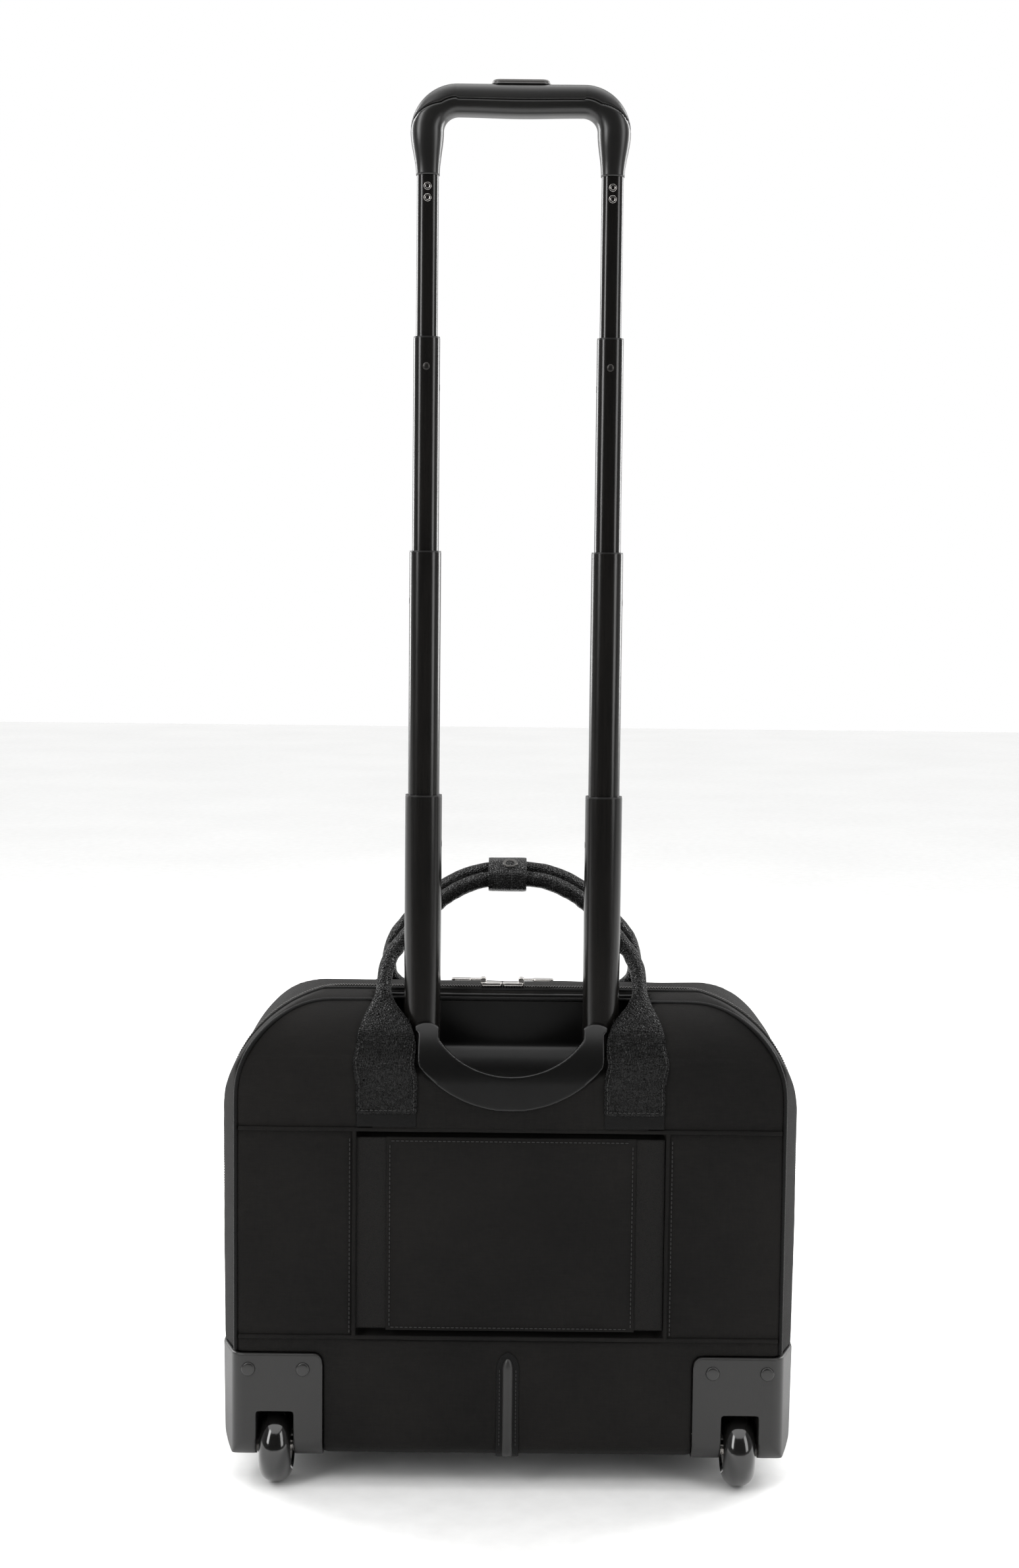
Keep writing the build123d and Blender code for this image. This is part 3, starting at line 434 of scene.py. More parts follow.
def ring_mesh(name, rings):
    """A closed form through rings of points."""
    return outward(mesh_object(name, rings.reshape(-1, 3), tube_faces(*rings.shape[:2])))


def run_length(path):
    """Length along a path at each of its points."""
    runs = np.linalg.norm(np.diff(path, axis=0), axis=1)
    return np.concatenate([[0], np.cumsum(runs)])


def point_at(path, along, place):
    """The point that lies place along a path."""
    return np.array([np.interp(place, along, path[:, k]) for k in range(3)])


def sweep(name, path, side, half_side, half_thick, power, count=28):
    """A closed form along path. Its section is half_side wide along side and half_thick thick across
    it; power 2 is an ellipse, and more is squarer. Each may be one value or one for each point."""
    stations = len(path)
    ahead = directions(path)
    side = np.broadcast_to(np.asarray(side, float), path.shape)
    side = unit(side - (side * ahead).sum(1)[:, None] * ahead)
    up = np.cross(ahead, side)
    wide, thick, square = (np.broadcast_to(v, stations).astype(float) for v in (half_side, half_thick, power))
    angle = np.linspace(0, 2 * math.pi, count, endpoint=False)
    rings = []
    for i in range(stations):
        c, s = np.cos(angle), np.sin(angle)
        across = np.sign(c) * np.abs(c) ** (2 / square[i]) * wide[i]
        over = np.sign(s) * np.abs(s) ** (2 / square[i]) * thick[i]
        rings.append(path[i] + across[:, None] * side[i] + over[:, None] * up[i])
    lip = 0.35 * min(thick[0], thick[-1])
    first = path[0] - ahead[0] * lip + (rings[0] - path[0]) * 0.8
    last = path[-1] + ahead[-1] * lip + (rings[-1] - path[-1]) * 0.8
    return ring_mesh(name, np.array([first, *rings, last]))


def lathe(name, profile, places, axis, segments=28):
    """Turned pieces in one mesh: profile is (radius, height) pairs in mm from the middle of the face
    outwards and down, places their seats, and axis the way that they face."""
    points, faces = [], []
    turn = Vector(axis).to_track_quat("Z", "Y")
    for place in places:
        start = len(points)
        for radius, height in np.array(profile) * MM:
            for j in range(segments):
                a = 2 * math.pi * j / segments
                local = Vector((radius * math.cos(a), radius * math.sin(a), height))
                points.append(Vector(place) + turn @ local)
        faces += tube_faces(len(profile), segments, start)
    return outward(mesh_object(name, points, faces))


THREAD_SECTIONS = ((0, 0.35), (0.18, 0.9), (0.5, 1.0), (0.82, 0.9), (1, 0.35))
THREAD_SIDES = 6


def stitches(name, rows, body, slot, length=2.5 * MM, pitch=3.4 * MM, radius=0.38 * MM):
    """Rows of thread stitches in one mesh. Each row is a path lying on the surface, and a normal."""
    points, faces = [], []
    for path, normal in rows:
        path, normal = np.asarray(path, float), np.asarray(normal)
        along = run_length(path)
        for start in np.arange(pitch * 0.3, along[-1] - length, pitch):
            ends = [point_at(path, along, start + d) for d in (0, length)]
            aside = np.cross(unit(ends[1] - ends[0]), normal)
            faces += tube_faces(len(THREAD_SECTIONS), THREAD_SIDES, len(points))
            for share, size in THREAD_SECTIONS:
                middle = ends[0] + (ends[1] - ends[0]) * share
                reach = radius * size
                for k in range(THREAD_SIDES):
                    a = 2 * math.pi * k / THREAD_SIDES
                    points.append(middle + aside * math.cos(a) * reach + normal * math.sin(a) * reach)
    return wear(outward(mesh_object(name, points, faces)), THREAD, body, slot)


CLOTH_FRAMES = 20


def cloth_puff(obj, pressure, cap, pinned):
    """Blows a fabric piece up by cloth simulation, held where pinned says and moved at most cap."""
    rest = read(obj.data.vertices, "co")
    group = obj.vertex_groups.new(name="held")
    group.add([int(i) for i in np.nonzero(pinned)[0]], 1.0, "REPLACE")
    cloth = obj.modifiers.new("cloth", "CLOTH")
    cloth.settings.use_pressure = True
    cloth.settings.uniform_pressure_force = pressure
    cloth.settings.effector_weights.gravity = 0
    cloth.settings.vertex_group_mass = "held"
    scene = bpy.context.scene
    for number in range(1, CLOTH_FRAMES + 1):
        scene.frame_set(number)
    graph = bpy.context.evaluated_depsgraph_get()
    baked = bpy.data.meshes.new_from_object(obj.evaluated_get(graph))
    obj.modifiers.clear()
    obj.vertex_groups.clear()
    obj.data = baked
    scene.frame_set(1)
    move = read(obj.data.vertices, "co") - rest
    reach = np.linalg.norm(move, axis=1)[:, None]
    set_coordinates(obj, rest + move * np.minimum(1, cap / np.maximum(reach, 1e-9)))


CLEAR = 0.3  # a distance along Y that is outside the case


def surface_of(*nodes):
    """A search tree over CAD nodes' faces."""
    points, faces = [], []
    for name in nodes:
        mesh = NODES[name].data
        start = len(points)
        points += [v.co.copy() for v in mesh.vertices]
        faces += [tuple(start + i for i in face.vertices) for face in mesh.polygons]
    return BVHTree.FromPolygons(points, faces)


def laid_on(tree, path, lift):
    """path moved to the nearest place on a surface, then lift off it."""
    made = []
    for point in path:
        place, normal, _, _ = tree.find_nearest(Vector(point))
        if normal.dot(Vector(point) - place) < 0:
            normal = -normal
        made.append(place + normal * lift)
    return np.array(made)


def stops(low, high, step, edge):
    """Grid lines from low to high, closer together in the last edge of each end."""
    close = [edge * share for share in (0, 0.15, 0.45, 1)]
    count = max(2, int(round((high - low - 2 * edge) / step)))
    middle = np.linspace(low + edge, high - edge, count + 1)[1:-1]
    return np.array([*(low + d for d in close), *middle, *(high - d for d in reversed(close))])


def slab(name, low, high, depth, thickness, step=3 * MM, edge=1.2 * MM, outline=None):
    """A closed sheet facing -Y, between (x, z) corners, with rounded edges. depth(x, z) is its middle's
    y, and outline(x, z) may move its points within the sheet's plane."""
    xs, zs = stops(low[0], high[0], step, edge), stops(low[1], high[1], step, edge)
    x, z = (grid.ravel() for grid in np.meshgrid(xs, zs))
    inside = np.minimum.reduce([x - low[0], high[0] - x, z - low[1], high[1] - z])
    round_off = np.sqrt(1 - (1 - ramp(inside, edge)) ** 2)
    half = thickness / 2 * np.maximum(round_off, 0.05)
    if outline:
        x, z = outline(x, z)
    y = depth(x, z)
    points = np.concatenate([np.stack([x, y - half, z], 1), np.stack([x, y + half, z], 1)])
    columns, rows = len(xs), len(zs)
    back = columns * rows
    faces = []
    for r in range(rows - 1):
        for c in range(columns - 1):
            a = r * columns + c
            faces.append((a, a + 1, a + columns + 1, a + columns))
            faces.append((back + a, back + a + columns, back + a + columns + 1, back + a + 1))
    rim = [*range(columns), *(r * columns + columns - 1 for r in range(1, rows))]
    rim += [*((rows - 1) * columns + c for c in range(columns - 2, -1, -1))]
    rim += [*(r * columns for r in range(rows - 2, 0, -1))]
    faces += [(a, back + a, back + b, b) for a, b in zip(rim, rim[1:] + rim[:1])]
    made = outward(mesh_object(name, points, faces))
    return made, np.concatenate([inside, inside])


def oval_path(centre_x, centre_y, length, width, z, count=48):
    """A flat stadium-shaped loop."""
    turn = np.linspace(0, 2 * math.pi, count, endpoint=False)
    run = (length - width) / 2
    x = centre_x + np.sign(np.cos(turn)) * run + np.cos(turn) * width / 2
    return np.stack([x, centre_y + np.sin(turn) * width / 2, np.full(count, z)], 1)


def ring_tube(name, loop, radius, count=12):
    """A round bar bent into a closed loop."""
    ahead = unit(np.roll(loop, -1, 0) - np.roll(loop, 1, 0))
    side = unit(np.cross(ahead, (0, 0, 1)))
    up = np.cross(side, ahead)
    angle = np.linspace(0, 2 * math.pi, count, endpoint=False)[:, None]
    rings = [p + radius * (np.cos(angle) * s + np.sin(angle) * u) for p, s, u in zip(loop, side, up)]
    points = np.concatenate(rings)
    faces = [tuple(i % len(points) for i in face) for face in tube_faces(len(loop) + 1, count, capped=False)]
    return outward(mesh_object(name, points, faces))


# ======== Camera, lights and floor ========

CAMERA_PLACE = (-0.0032, -1.595, 0.6575)
CAMERA_TILT, CAMERA_ROLL = 84.9, 0.6  # degrees from straight down, and clockwise
CAMERA_LENS = 48.27

camera = bpy.data.objects.new("camera", bpy.data.cameras.new("camera"))
camera.data.lens = CAMERA_LENS
camera.data.sensor_width = 36
camera.matrix_world = (
    Matrix.Translation(CAMERA_PLACE)
    @ Matrix.Rotation(math.radians(CAMERA_TILT), 4, "X")
    @ Matrix.Rotation(math.radians(CAMERA_ROLL), 4, "Z")
)
bpy.context.scene.collection.objects.link(camera)
bpy.context.scene.camera = camera


def softbox(name, place, target, size, watts):
    """A rectangular light at place, aimed at target."""
    light = bpy.data.objects.new(name, bpy.data.lights.new(name, "AREA"))
    light.data.shape = "RECTANGLE"
    light.data.size, light.data.size_y = size
    light.data.energy = watts
    light.location = place
    light.rotation_euler = (Vector(target) - Vector(place)).to_track_quat("-Z", "Y").to_euler()
    bpy.context.scene.collection.objects.link(light)


softbox("key_left", (-1.6, -1.7, 1.6), (0, -0.1, 0.4), (0.7, 1.9), 34)
softbox("fill_right", (1.7, -1.5, 1.2), (0, -0.1, 0.4), (0.8, 1.9), 20)
softbox("rim_left", (-1.6, 1.0, 1.3), (0, 0, 0.4), (0.7, 1.9), 40)
softbox("rim_right", (1.6, 1.0, 1.3), (0, 0, 0.4), (0.7, 1.9), 40)
softbox("top", (0, 0.3, 2.6), (0, 0, 0.3), (2.2, 1.6), 12)
overhead = bpy.data.objects.new("overhead", bpy.data.lights.new("overhead", "SUN"))
overhead.data.energy = 2.4
overhead.data.angle = math.radians(80)
bpy.context.scene.collection.objects.link(overhead)

# The studio is white to look at, and lights the object from behind and above more than from the front.
world = bpy.data.worlds.new("studio")
bpy.context.scene.world = world
world.use_nodes = True
sky = world.node_tree
for light_name, strength in (("around", 1.0), ("seen", 1.0)):
    made = sky.nodes.new("ShaderNodeBackground")
    made.name = light_name
    made.inputs["Color"].default_value = (1, 1, 1, 1)
    made.inputs["Strength"].default_value = strength
place = sky.nodes.new("ShaderNodeTexCoord")
split = sky.nodes.new("ShaderNodeSeparateXYZ")
sky.links.new(place.outputs["Generated"], split.inputs[0])
from_front = fitted(sky, split.outputs["Y"], -0.6, 0.9, 0.07, 0.75)
sky.links.new(from_front, sky.nodes["around"].inputs["Color"])
path_kind = sky.nodes.new("ShaderNodeLightPath")
either = sky.nodes.new("ShaderNodeMixShader")
sky.links.new(path_kind.outputs["Is Camera Ray"], either.inputs[0])
sky.links.new(sky.nodes["around"].outputs[0], either.inputs[1])
sky.links.new(sky.nodes["seen"].outputs[0], either.inputs[2])
sky.links.new(either.outputs[0], sky.nodes["World Output"].inputs["Surface"])
bpy.context.scene.view_settings.view_transform = "Standard"

FLOOR = material(
    "studio_floor", (0.80, 0.80, 0.795), (0.86, 0.86, 0.855), (0.6, 0.7), grain(20 * MM), 0.02 * MM, (2, 2, 2)
)
# A white floor nearer to the camera would be mirrored by every black face that looks at it.
NEAR_END, FAR_END, FLOOR_HALF = -1, 9, 9
floor_corners = [(x, y, 0) for y in (NEAR_END, FAR_END) for x in (-FLOOR_HALF, FLOOR_HALF)]
floor = mesh_object("studio_floor", floor_corners, [(0, 1, 3, 2)])
floor.data.materials.append(FLOOR)


# ======== Fabric case ========


def cover(node, voxel, shape, name, body):
    """A padded fabric wall: the CAD shell with rounded edges and a fabric's shape put on it."""
    made = rounded(node, voxel, 4, name)
    push_out(made, shape)
    wear(made, NYLON, body, "shell_fabric", node)


def crown(points, low, high, rise):
    """A panel's swell between (x, z) corners: none at its edges, rise at its middle."""
    across = ramp(points[:, 0] - low[0], high[0] - low[0])
    along = ramp(points[:, 2] - low[1], high[1] - low[1])
    return rise * (np.sin(math.pi * across) * np.sin(math.pi * along)) ** 0.6


def creases(points, seed):
    """The small unevenness of cloth over foam."""
    fine = ripple(points * (1, 1, 2), 20 * MM, seed + 1)
    return 0.35 * MM * ripple(points, 55 * MM, seed) + 0.16 * MM * fine


def outer_side(points, out):
    """1 on a wall's outer side, 0 on its inner side and towards the zip."""
    away = ((points - CASE_CENTRE) * out).sum(1)
    from_zip = ramp(np.abs(points[:, 1] - ZIP_Y) - 0.6 * MM, 4 * MM)
    return np.where(away > 0, from_zip, 0.0)


def rear_shape(points, out):
    """Panels swell between the seams; the gusset bulges between the piping and the zip."""
    facing = ramp(-out[:, 1] * 1.6 - 0.4)
    x, y, z = points.T
    panels = crown(points, (-PANEL_HALF, SEAM_TOP), (PANEL_HALF, PIPING_TOP), 1.3 * MM)
    for low, high in ((-PANEL_HALF, -SEAM_SIDE), (SEAM_SIDE, PANEL_HALF)):
        panels += crown(points, (low, SEAM_BOTTOM), (high, SEAM_TOP), 1.0 * MM)
    panels += crown(points, (-PANEL_HALF, REAR_LOW.z), (PANEL_HALF, SEAM_BOTTOM), 0.9 * MM)
    valleys = near(z, SEAM_TOP, 6 * MM) + near(z, SEAM_BOTTOM, 6 * MM)
    recess = between(x, -SEAM_SIDE, SEAM_SIDE, 2 * MM) * between(z, SEAM_BOTTOM, SEAM_TOP, 2 * MM)
    outer = np.where(y < BACK_Y + 3 * MM, 1.0, 0.0) * (1 - recess)
    edge = (1 - facing) * near(y, -68 * MM, 30 * MM) * 1.2 * MM
    swell = outer * facing * (panels - 0.7 * MM * valleys)
    return swell + outer_side(points, out) * (edge + creases(points, 1))


def lid_shape(points, out):
    """The front swells, and pulls in along the zip and the hinge."""
    x, y, z = points.T
    facing = ramp(out[:, 1] * 1.6 - 0.4) * np.where(y > FRONT_Y - 3 * MM, 1.0, 0.0)
    front = crown(points, (-PANEL_HALF, 75 * MM), (PANEL_HALF, FRONT_PIPING_TOP), 2.2 * MM)
    side = (1 - facing) * near(y, 20 * MM, 60 * MM) * 1.6 * MM
    folds = 0.5 * MM * ripple(points * (1, 1, 0.35), 34 * MM, 5) * (1 - facing)
    return facing * front + outer_side(points, out) * (side + folds + creases(points, 3))


def base_shape(points, _):
    """The bottom tub stands a little proud on its outer sides."""
    x, y, z = points.T
    outside = np.where((np.abs(x) > 201 * MM) | (z < 27 * MM) | (y > FRONT_Y - 3 * MM), 1.0, 0.0)
    return outside * (creases(points, 8) + 0.3 * MM)


cover("rear_shell", 2.3 * MM, rear_shape, "rear_cover", "root")
cover("lid_shell", 2.6 * MM, lid_shape, "lid_cover", "lid")
cover("base_tub", 2.4 * MM, base_shape, "base_cover", "root")


def welt(name, low, high, side, seed):
    """The folded edge of one panel where it is sewn over the next, a narrow raised lip on the back
    between two (x, z) ends."""
    path = line_through([np.array((x, BACK_Y, z)) for x, z in (low, high)], 3 * MM)
    path = path + np.array(side) * (0.22 * MM * ripple(path, 30 * MM, seed))[:, None]
    path[:, 1] += -0.2 * MM + 0.15 * MM * ripple(path, 22 * MM, seed + 1)
    wear(sweep(name, path, side, 1.5 * MM, 1.0 * MM, 2.4, 12), NYLON, "root", "shell_fabric")


LEVEL, UPRIGHT = (0, 0, 1), (1, 0, 0)
seam_end = PANEL_HALF - 2 * MM
for name, low, high, side, seed in (
    ("seam_top", (-seam_end, SEAM_TOP + 0.8 * MM), (seam_end, SEAM_TOP + 0.8 * MM), LEVEL, 10),
    ("seam_bottom", (-seam_end, SEAM_BOTTOM + 0.4 * MM), (seam_end, SEAM_BOTTOM + 0.4 * MM), LEVEL, 12),
    ("seam_left", (-SEAM_SIDE - 1 * MM, SEAM_BOTTOM), (-SEAM_SIDE - 1 * MM, SEAM_TOP), UPRIGHT, 14),
    ("seam_right", (SEAM_SIDE + 2.4 * MM, SEAM_BOTTOM), (SEAM_SIDE + 2.4 * MM, SEAM_TOP), UPRIGHT, 16),
):
    welt(name, low, high, side, seed)


def back_row(x0, z0, x1, z1, y):
    """A straight stitch row on a face that looks backwards."""
    return (np.array([(x0, y, z0), (x1, y, z1)]), (0, -1, 0))


seam_rows = [
    back_row(x, SEAM_BOTTOM + 3 * MM, x, SEAM_TOP - 3 * MM, BACK_Y - 1.0 * MM)
    for x in (-SEAM_SIDE - 4.2 * MM, SEAM_SIDE + 5.6 * MM)
]
stitches("seam_stitches", seam_rows, "root", "shell_fabric")


# ---- Piping ----


def panel_edge(half, top, radius, foot, step=4 * MM):
    """Points of an arch in the X-Z plane, from its left foot over its top to its right foot."""
    turn = np.linspace(0, math.pi / 2, 14)
    left = [(-half, foot)] + [(-half, z) for z in np.arange(foot + step, top - radius, step)]
    arc = [(-half + radius * (1 - math.cos(t)), top - radius * (1 - math.sin(t))) for t in turn]
    run = [(x, top) for x in np.arange(-half + radius + step, 0, step)]
    one = left + arc + run
    return np.array(one + [(-x, z) for x, z in reversed(one)])


def cast_along(tree, flat_points, start_y, direction):
    """Each (x, z) point carried along Y to the first surface that it meets."""
    made = []
    for x, z in flat_points:
        place, _, _, _ = tree.ray_cast(Vector((x, start_y, z)), Vector((0, direction, 0)))
        if place:
            made.append(place)
    return np.array(made)


def evened(path, step):
    """The same path with its points step apart."""
    along = run_length(path)
    places = np.linspace(0, along[-1], max(2, int(along[-1] / step)))
    return np.stack([np.interp(places, along, path[:, k]) for k in range(3)], 1)


def eased(path, passes):
    """A path with its small kinks smoothed out."""
    path = path.copy()
    for _ in range(passes):
        path[1:-1] = path[1:-1] * 0.5 + (path[:-2] + path[2:]) * 0.25
    return path


back_surface = surface_of("rear_shell", "handle_housing")
back_edge = panel_edge(PIPING_HALF, PIPING_TOP, 65 * MM, GUARD_HIGH.z - 2 * MM)
front_surface = surface_of("lid_shell")
front_edge = panel_edge(PANEL_HALF - 1.5 * MM, FRONT_PIPING_TOP, 66 * MM, 74 * MM)
for name, tree, edge, sign, body, stood_for in (
    ("back_piping", back_surface, back_edge, -1, "root", ("rear_piping",)),
    ("front_piping", front_surface, front_edge, 1, "lid", ()),
):
    path = eased(evened(cast_along(tree, edge, sign * CLEAR, -sign), 3 * MM), 6)
    path[:, 1] += sign * 0.5 * MM
    cord = sweep(name, path, (0, 0.7, 0.7), 1.75 * MM, 1.75 * MM, 2, 14)
    wear(cord, PATCH_LEATHER, body, "piping", *stood_for)


def face_depth(tree, sign, lift):
    """Depth for slab: lift off the face of tree that looks along sign * Y."""

    def depth(x, z):
        made = []
        for a, b in zip(x, z):
            place, _, _, _ = tree.ray_cast(Vector((a, sign * CLEAR, b)), Vector((0, -sign, 0)))
            made.append((place.y if place else sign * FRONT_Y) + sign * lift)
        return np.array(made)

    return depth


# ---- Trolley sleeve panel: a fabric sheet between two grained strips ----

SHEET_LEFT, SHEET_RIGHT = -90 * MM, 92 * MM
panel_y = (SLEEVE_LOW.y + SLEEVE_HIGH.y) / 2


def waved(seed, amount):
    """A sheet's middle that isn't quite flat."""

    def depth(x, z):
        points = np.stack([x, np.zeros_like(x), z], 1)
        return panel_y + amount * ripple(points, 45 * MM, seed)

    return depth


trolley_panel, inside = slab(
    "trolley_panel", (SHEET_LEFT, SLEEVE_LOW.z), (SHEET_RIGHT, SLEEVE_HIGH.z), waved(21, 0.35 * MM), 2.2 * MM
)
cloth_puff(trolley_panel, 3.0, 1.6 * MM, inside < 3.5 * MM)
wear(trolley_panel, NYLON, "root", "shell_fabric", "trolley_sleeve_panel")
for side, low_x, high_x in (
    ("left", -SEAM_SIDE - 0.6 * MM, SHEET_LEFT + 3 * MM),
    ("right", SHEET_RIGHT - 3 * MM, SEAM_SIDE + 0.9 * MM),
):
    strip, _ = slab(
        f"sleeve_strip_{side}", (low_x, SLEEVE_LOW.z + 1 * MM), (high_x, SLEEVE_HIGH.z - 0.5 * MM),
        lambda x, z: np.full_like(x, panel_y + 1.1 * MM), 1.6 * MM,
    )
    wear(strip, GRAINED, "root", "shell_fabric")
HEM = 2.6 * MM
row_y = SLEEVE_LOW.y - 0.35 * MM
hem_x = (SHEET_LEFT + HEM, SHEET_RIGHT - HEM)
hem_z = (SLEEVE_LOW.z + HEM, SLEEVE_HIGH.z - HEM)
hem_rows = [back_row(hem_x[0], z, hem_x[1], z, row_y) for z in reversed(hem_z)]
hem_rows += [back_row(x, hem_z[0], x, hem_z[1], row_y) for x in hem_x]
stitches("trolley_panel_stitches", hem_rows, "root", "shell_fabric")


# ======== Leather straps and carry handles ========

PATCH_TOP = STRAP_LOW.z + 10.4 * MM
ROLL = 6 * MM
ROLL_FOOT = 372 * MM  # height at which the straps have turned into rolls
STITCH_TOP = 335 * MM
WRAP_X = (WRAP_LOW.x + WRAP_HIGH.x) / 2

# Half of each handle's route, from its strap's foot to the middle of its roll: (x, y, z) in mm.
BACK_ROUTE = [
    (90.1, -96.4, 283), (90.1, -96.5, 296), (90.2, -96.3, 307), (90.5, -94.9, 319), (91.2, -91.2, 331),
    (92, -86.2, 341.5), (93.2, -79.6, 350), (94.2, -72.5, 358.5), (94.4, -65, 367.5), (93.2, -55.5, 381.5),
    (88.5, -48, 392.5), (81, -43.2, 401.5), (67, -39.4, 418.5), (51, -36.5, 432.6), (37, -35, 440.6),
    (24, -34.2, 445.4), (10, -34, 447.2), (0, -34, 447.5),
]
FRONT_ROUTE = [
    (90.1, 96.6, 273), (90.1, 95, 288), (90.1, 90, 303), (90.2, 81, 318), (90.5, 70, 329),
    (91.2, 56, 340), (92, 42, 348.5), (93, 29, 354.5), (94, 18, 360.5), (94.4, 8.5, 369),
    (93.6, 1, 383), (89, -6.5, 397.5), (82, -11, 408), (67, -15.6, 425), (51, -19, 439),
    (37, -20, 446.6), (24, -20.5, 450.8), (10, -20.6, 452.6), (0, -20.6, 453),
]
# Half widths of the flare, by the distance down from the neck, both in mm. The strap's own ends it.
BELL_DROPS = (0, 12, 24.5, 36, 47)
BELL_WIDTHS = (5.2, 9.2, 17.0, 20.8, STRAP_HALF / MM)
FLARE = 47 * MM
STRAP_THICK_HALF = 1.45 * MM


def leather_shape(points, out):
    """Lumps all over, gathers under the roll's ends, and folds across the straps."""
    x = points[:, 0]
    lumps = 0.28 * MM * ripple(points, 9 * MM, 31) + 0.12 * MM * ripple(points, 4 * MM, 32)
    on_roll = ramp(points[:, 2] - ROLL_FOOT, 20 * MM)
    under = ramp(-out[:, 2] * 1.5) * on_roll
    gathers = 0.45 * MM * np.sin(x / (0.95 * MM)) * under * ramp(np.abs(x) / (50 * MM) - 0.6)
    folds = 0.3 * MM * ripple(points * (0.4, 1, 1), 5 * MM, 33) * (1 - on_roll)
    return lumps * (0.6 + 0.4 * on_roll) + gathers + folds


def handle_leather(name, route, neck, tree, on_case):
    """One strap, its flare, the roll and the other strap, in one skin, with its path, half widths and
    half thicknesses. neck is the number of the point where the strap has narrowed to the roll, and the
    first on_case points are laid on tree."""
    half = [np.array(p, float) * MM for p in route]
    half = [*laid_on(tree, half[:on_case], 1.5 * MM), *half[on_case:]]
    whole = half + [p * (-1, 1, 1) for p in reversed(half[:-1])]
    path = evened(line_through(whole, 1.5 * MM), 1.5 * MM)
    along = run_length(path)
    neck_at = run_length(line_through(half[: neck + 1], 1.5 * MM))[-1]
    from_foot = np.minimum(along, along[-1] - along)
    share = ramp(from_foot - (neck_at - FLARE), FLARE)
    bell = np.interp(neck_at - from_foot, np.array(BELL_DROPS) * MM, np.array(BELL_WIDTHS) * MM)
    bell = np.convolve(np.pad(bell, 4, "edge"), np.full(9, 1 / 9), "valid")
    past_neck = ramp(from_foot - neck_at, 20 * MM)
    wide = bell + 0.6 * MM * past_neck
    thick = STRAP_THICK_HALF + (ROLL - 1.0 * MM - STRAP_THICK_HALF) * share**1.7 + 0.8 * MM * past_neck
    power = 5 - 3 * share**0.8
    roll_share = ramp(from_foot - neck_at, 30 * MM)[:, None]
    roll_side = np.array((0.25, 0, -1.0)) * np.sign(path[:, :1] + 1e-9)
    side = unit(np.array((1.0, 0, 0)) * (1 - roll_share) + roll_side * roll_share)
    made = sweep(name, path, side, wide, thick, power, 56)
    push_out(made, leather_shape)
    return made, path, wide, thick


def edge_rows(path, wide, thick, facing):
    """Stitch rows down both edges of both straps, as far up as STITCH_TOP."""
    rows = []
    for sign in (-1, 1):
        for edge in (-1, 1):
            keep = (np.sign(path[:, 0]) == sign) & (path[:, 2] < STITCH_TOP)
            line = path[keep]
            ahead = directions(line)
            normal = unit(np.cross(ahead, (1.0, 0, 0)))
            normal *= np.sign((normal @ np.array(facing)))[:, None]
            inset = wide[keep] - 2.4 * MM
            row = line + np.array([edge, 0, 0]) * inset[:, None] + normal * (thick[keep] * 0.97)[:, None]
            rows.append((row, facing))
    return rows


for face, route, neck, tree, on_case, sign, body, start, end in (
    ("back", BACK_ROUTE, 8, back_surface, 5, -1, "root", (0, -0.080, 0.350), (0, -0.065, 0.376)),
    ("front", FRONT_ROUTE, 9, front_surface, 8, 1, "lid", (0, 0.030, 0.357), (0, 0.004, 0.376)),
):
    leather, path, wide, thick = handle_leather(f"{face}_handle_leather", route, neck, tree, on_case)
    wear(leather, LEATHER, f"{face}_handle", "leather", f"{face}_straps", f"{face}_handle_roll")
    leather.parent = None
    del leather["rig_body"]
    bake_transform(leather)
    stitches(f"{face}_strap_stitches", edge_rows(path, wide, thick, (0, sign, 0)), body, "leather")
foot_z = PATCH_TOP + 2.2 * MM
foot_half = STRAP_HALF - 2.4 * MM
foot_rows = [
    back_row(x - foot_half, foot_z, x + foot_half, foot_z, BACK_Y - 2.85 * MM) for x in (-STRAP_X, STRAP_X)
]
stitches("strap_foot_stitches", foot_rows, "root", "leather")

patch_half = STRAP_HALF - 0.4 * MM
for side, x in (("left", -STRAP_X), ("right", STRAP_X)):
    for face, tree, sign, body in (("back", back_surface, -1, "root"), ("front", front_surface, 1, "lid")):
        patch, _ = slab(
            f"{face}_patch_{side}", (x - patch_half, STRAP_LOW.z), (x + patch_half, PATCH_TOP + 6 * MM),
            face_depth(tree, sign, 0.9 * MM), 1.7 * MM,
        )
        wear(patch, PATCH_LEATHER, body, "leather")

# Facing: fabric below the well, between the straps. Its upper edge, x and z in mm, runs under the bezel.
FACING_HALF = 100.4 * MM
FACING_BOTTOM = 271.2 * MM
FACING_X = (0, 10, 20, 30, 40, 50, 58, 64, 70, 101)
FACING_TOP = (297, 297.6, 299.4, 302.6, 307.4, 313.6, 319.5, 324, 324, 322)
FACING_DEEPEST = -89 * MM


def facing_outline(x, z):
    """Raises the facing's upper edge into the two corners beside the bezel."""
    top = np.interp(np.abs(x), np.array(FACING_X) * MM, np.array(FACING_TOP) * MM)
    share = (z - FACING_BOTTOM) / (FACING_TOP[0] * MM - FACING_BOTTOM)
    return x, FACING_BOTTOM + share * (top - FACING_BOTTOM)


def facing_depth(x, z):
    """The back face's depth, kept clear of the trolley's tubes beside the bezel."""
    return np.minimum(face_depth(back_surface, -1, 0.25 * MM)(x, z), FACING_DEEPEST)


facing, _ = slab(
    "housing_facing", (-FACING_HALF, FACING_BOTTOM), (FACING_HALF, FACING_TOP[0] * MM), facing_depth,
    1.3 * MM, outline=facing_outline,
)
wear(facing, NYLON, "root", "shell_fabric")

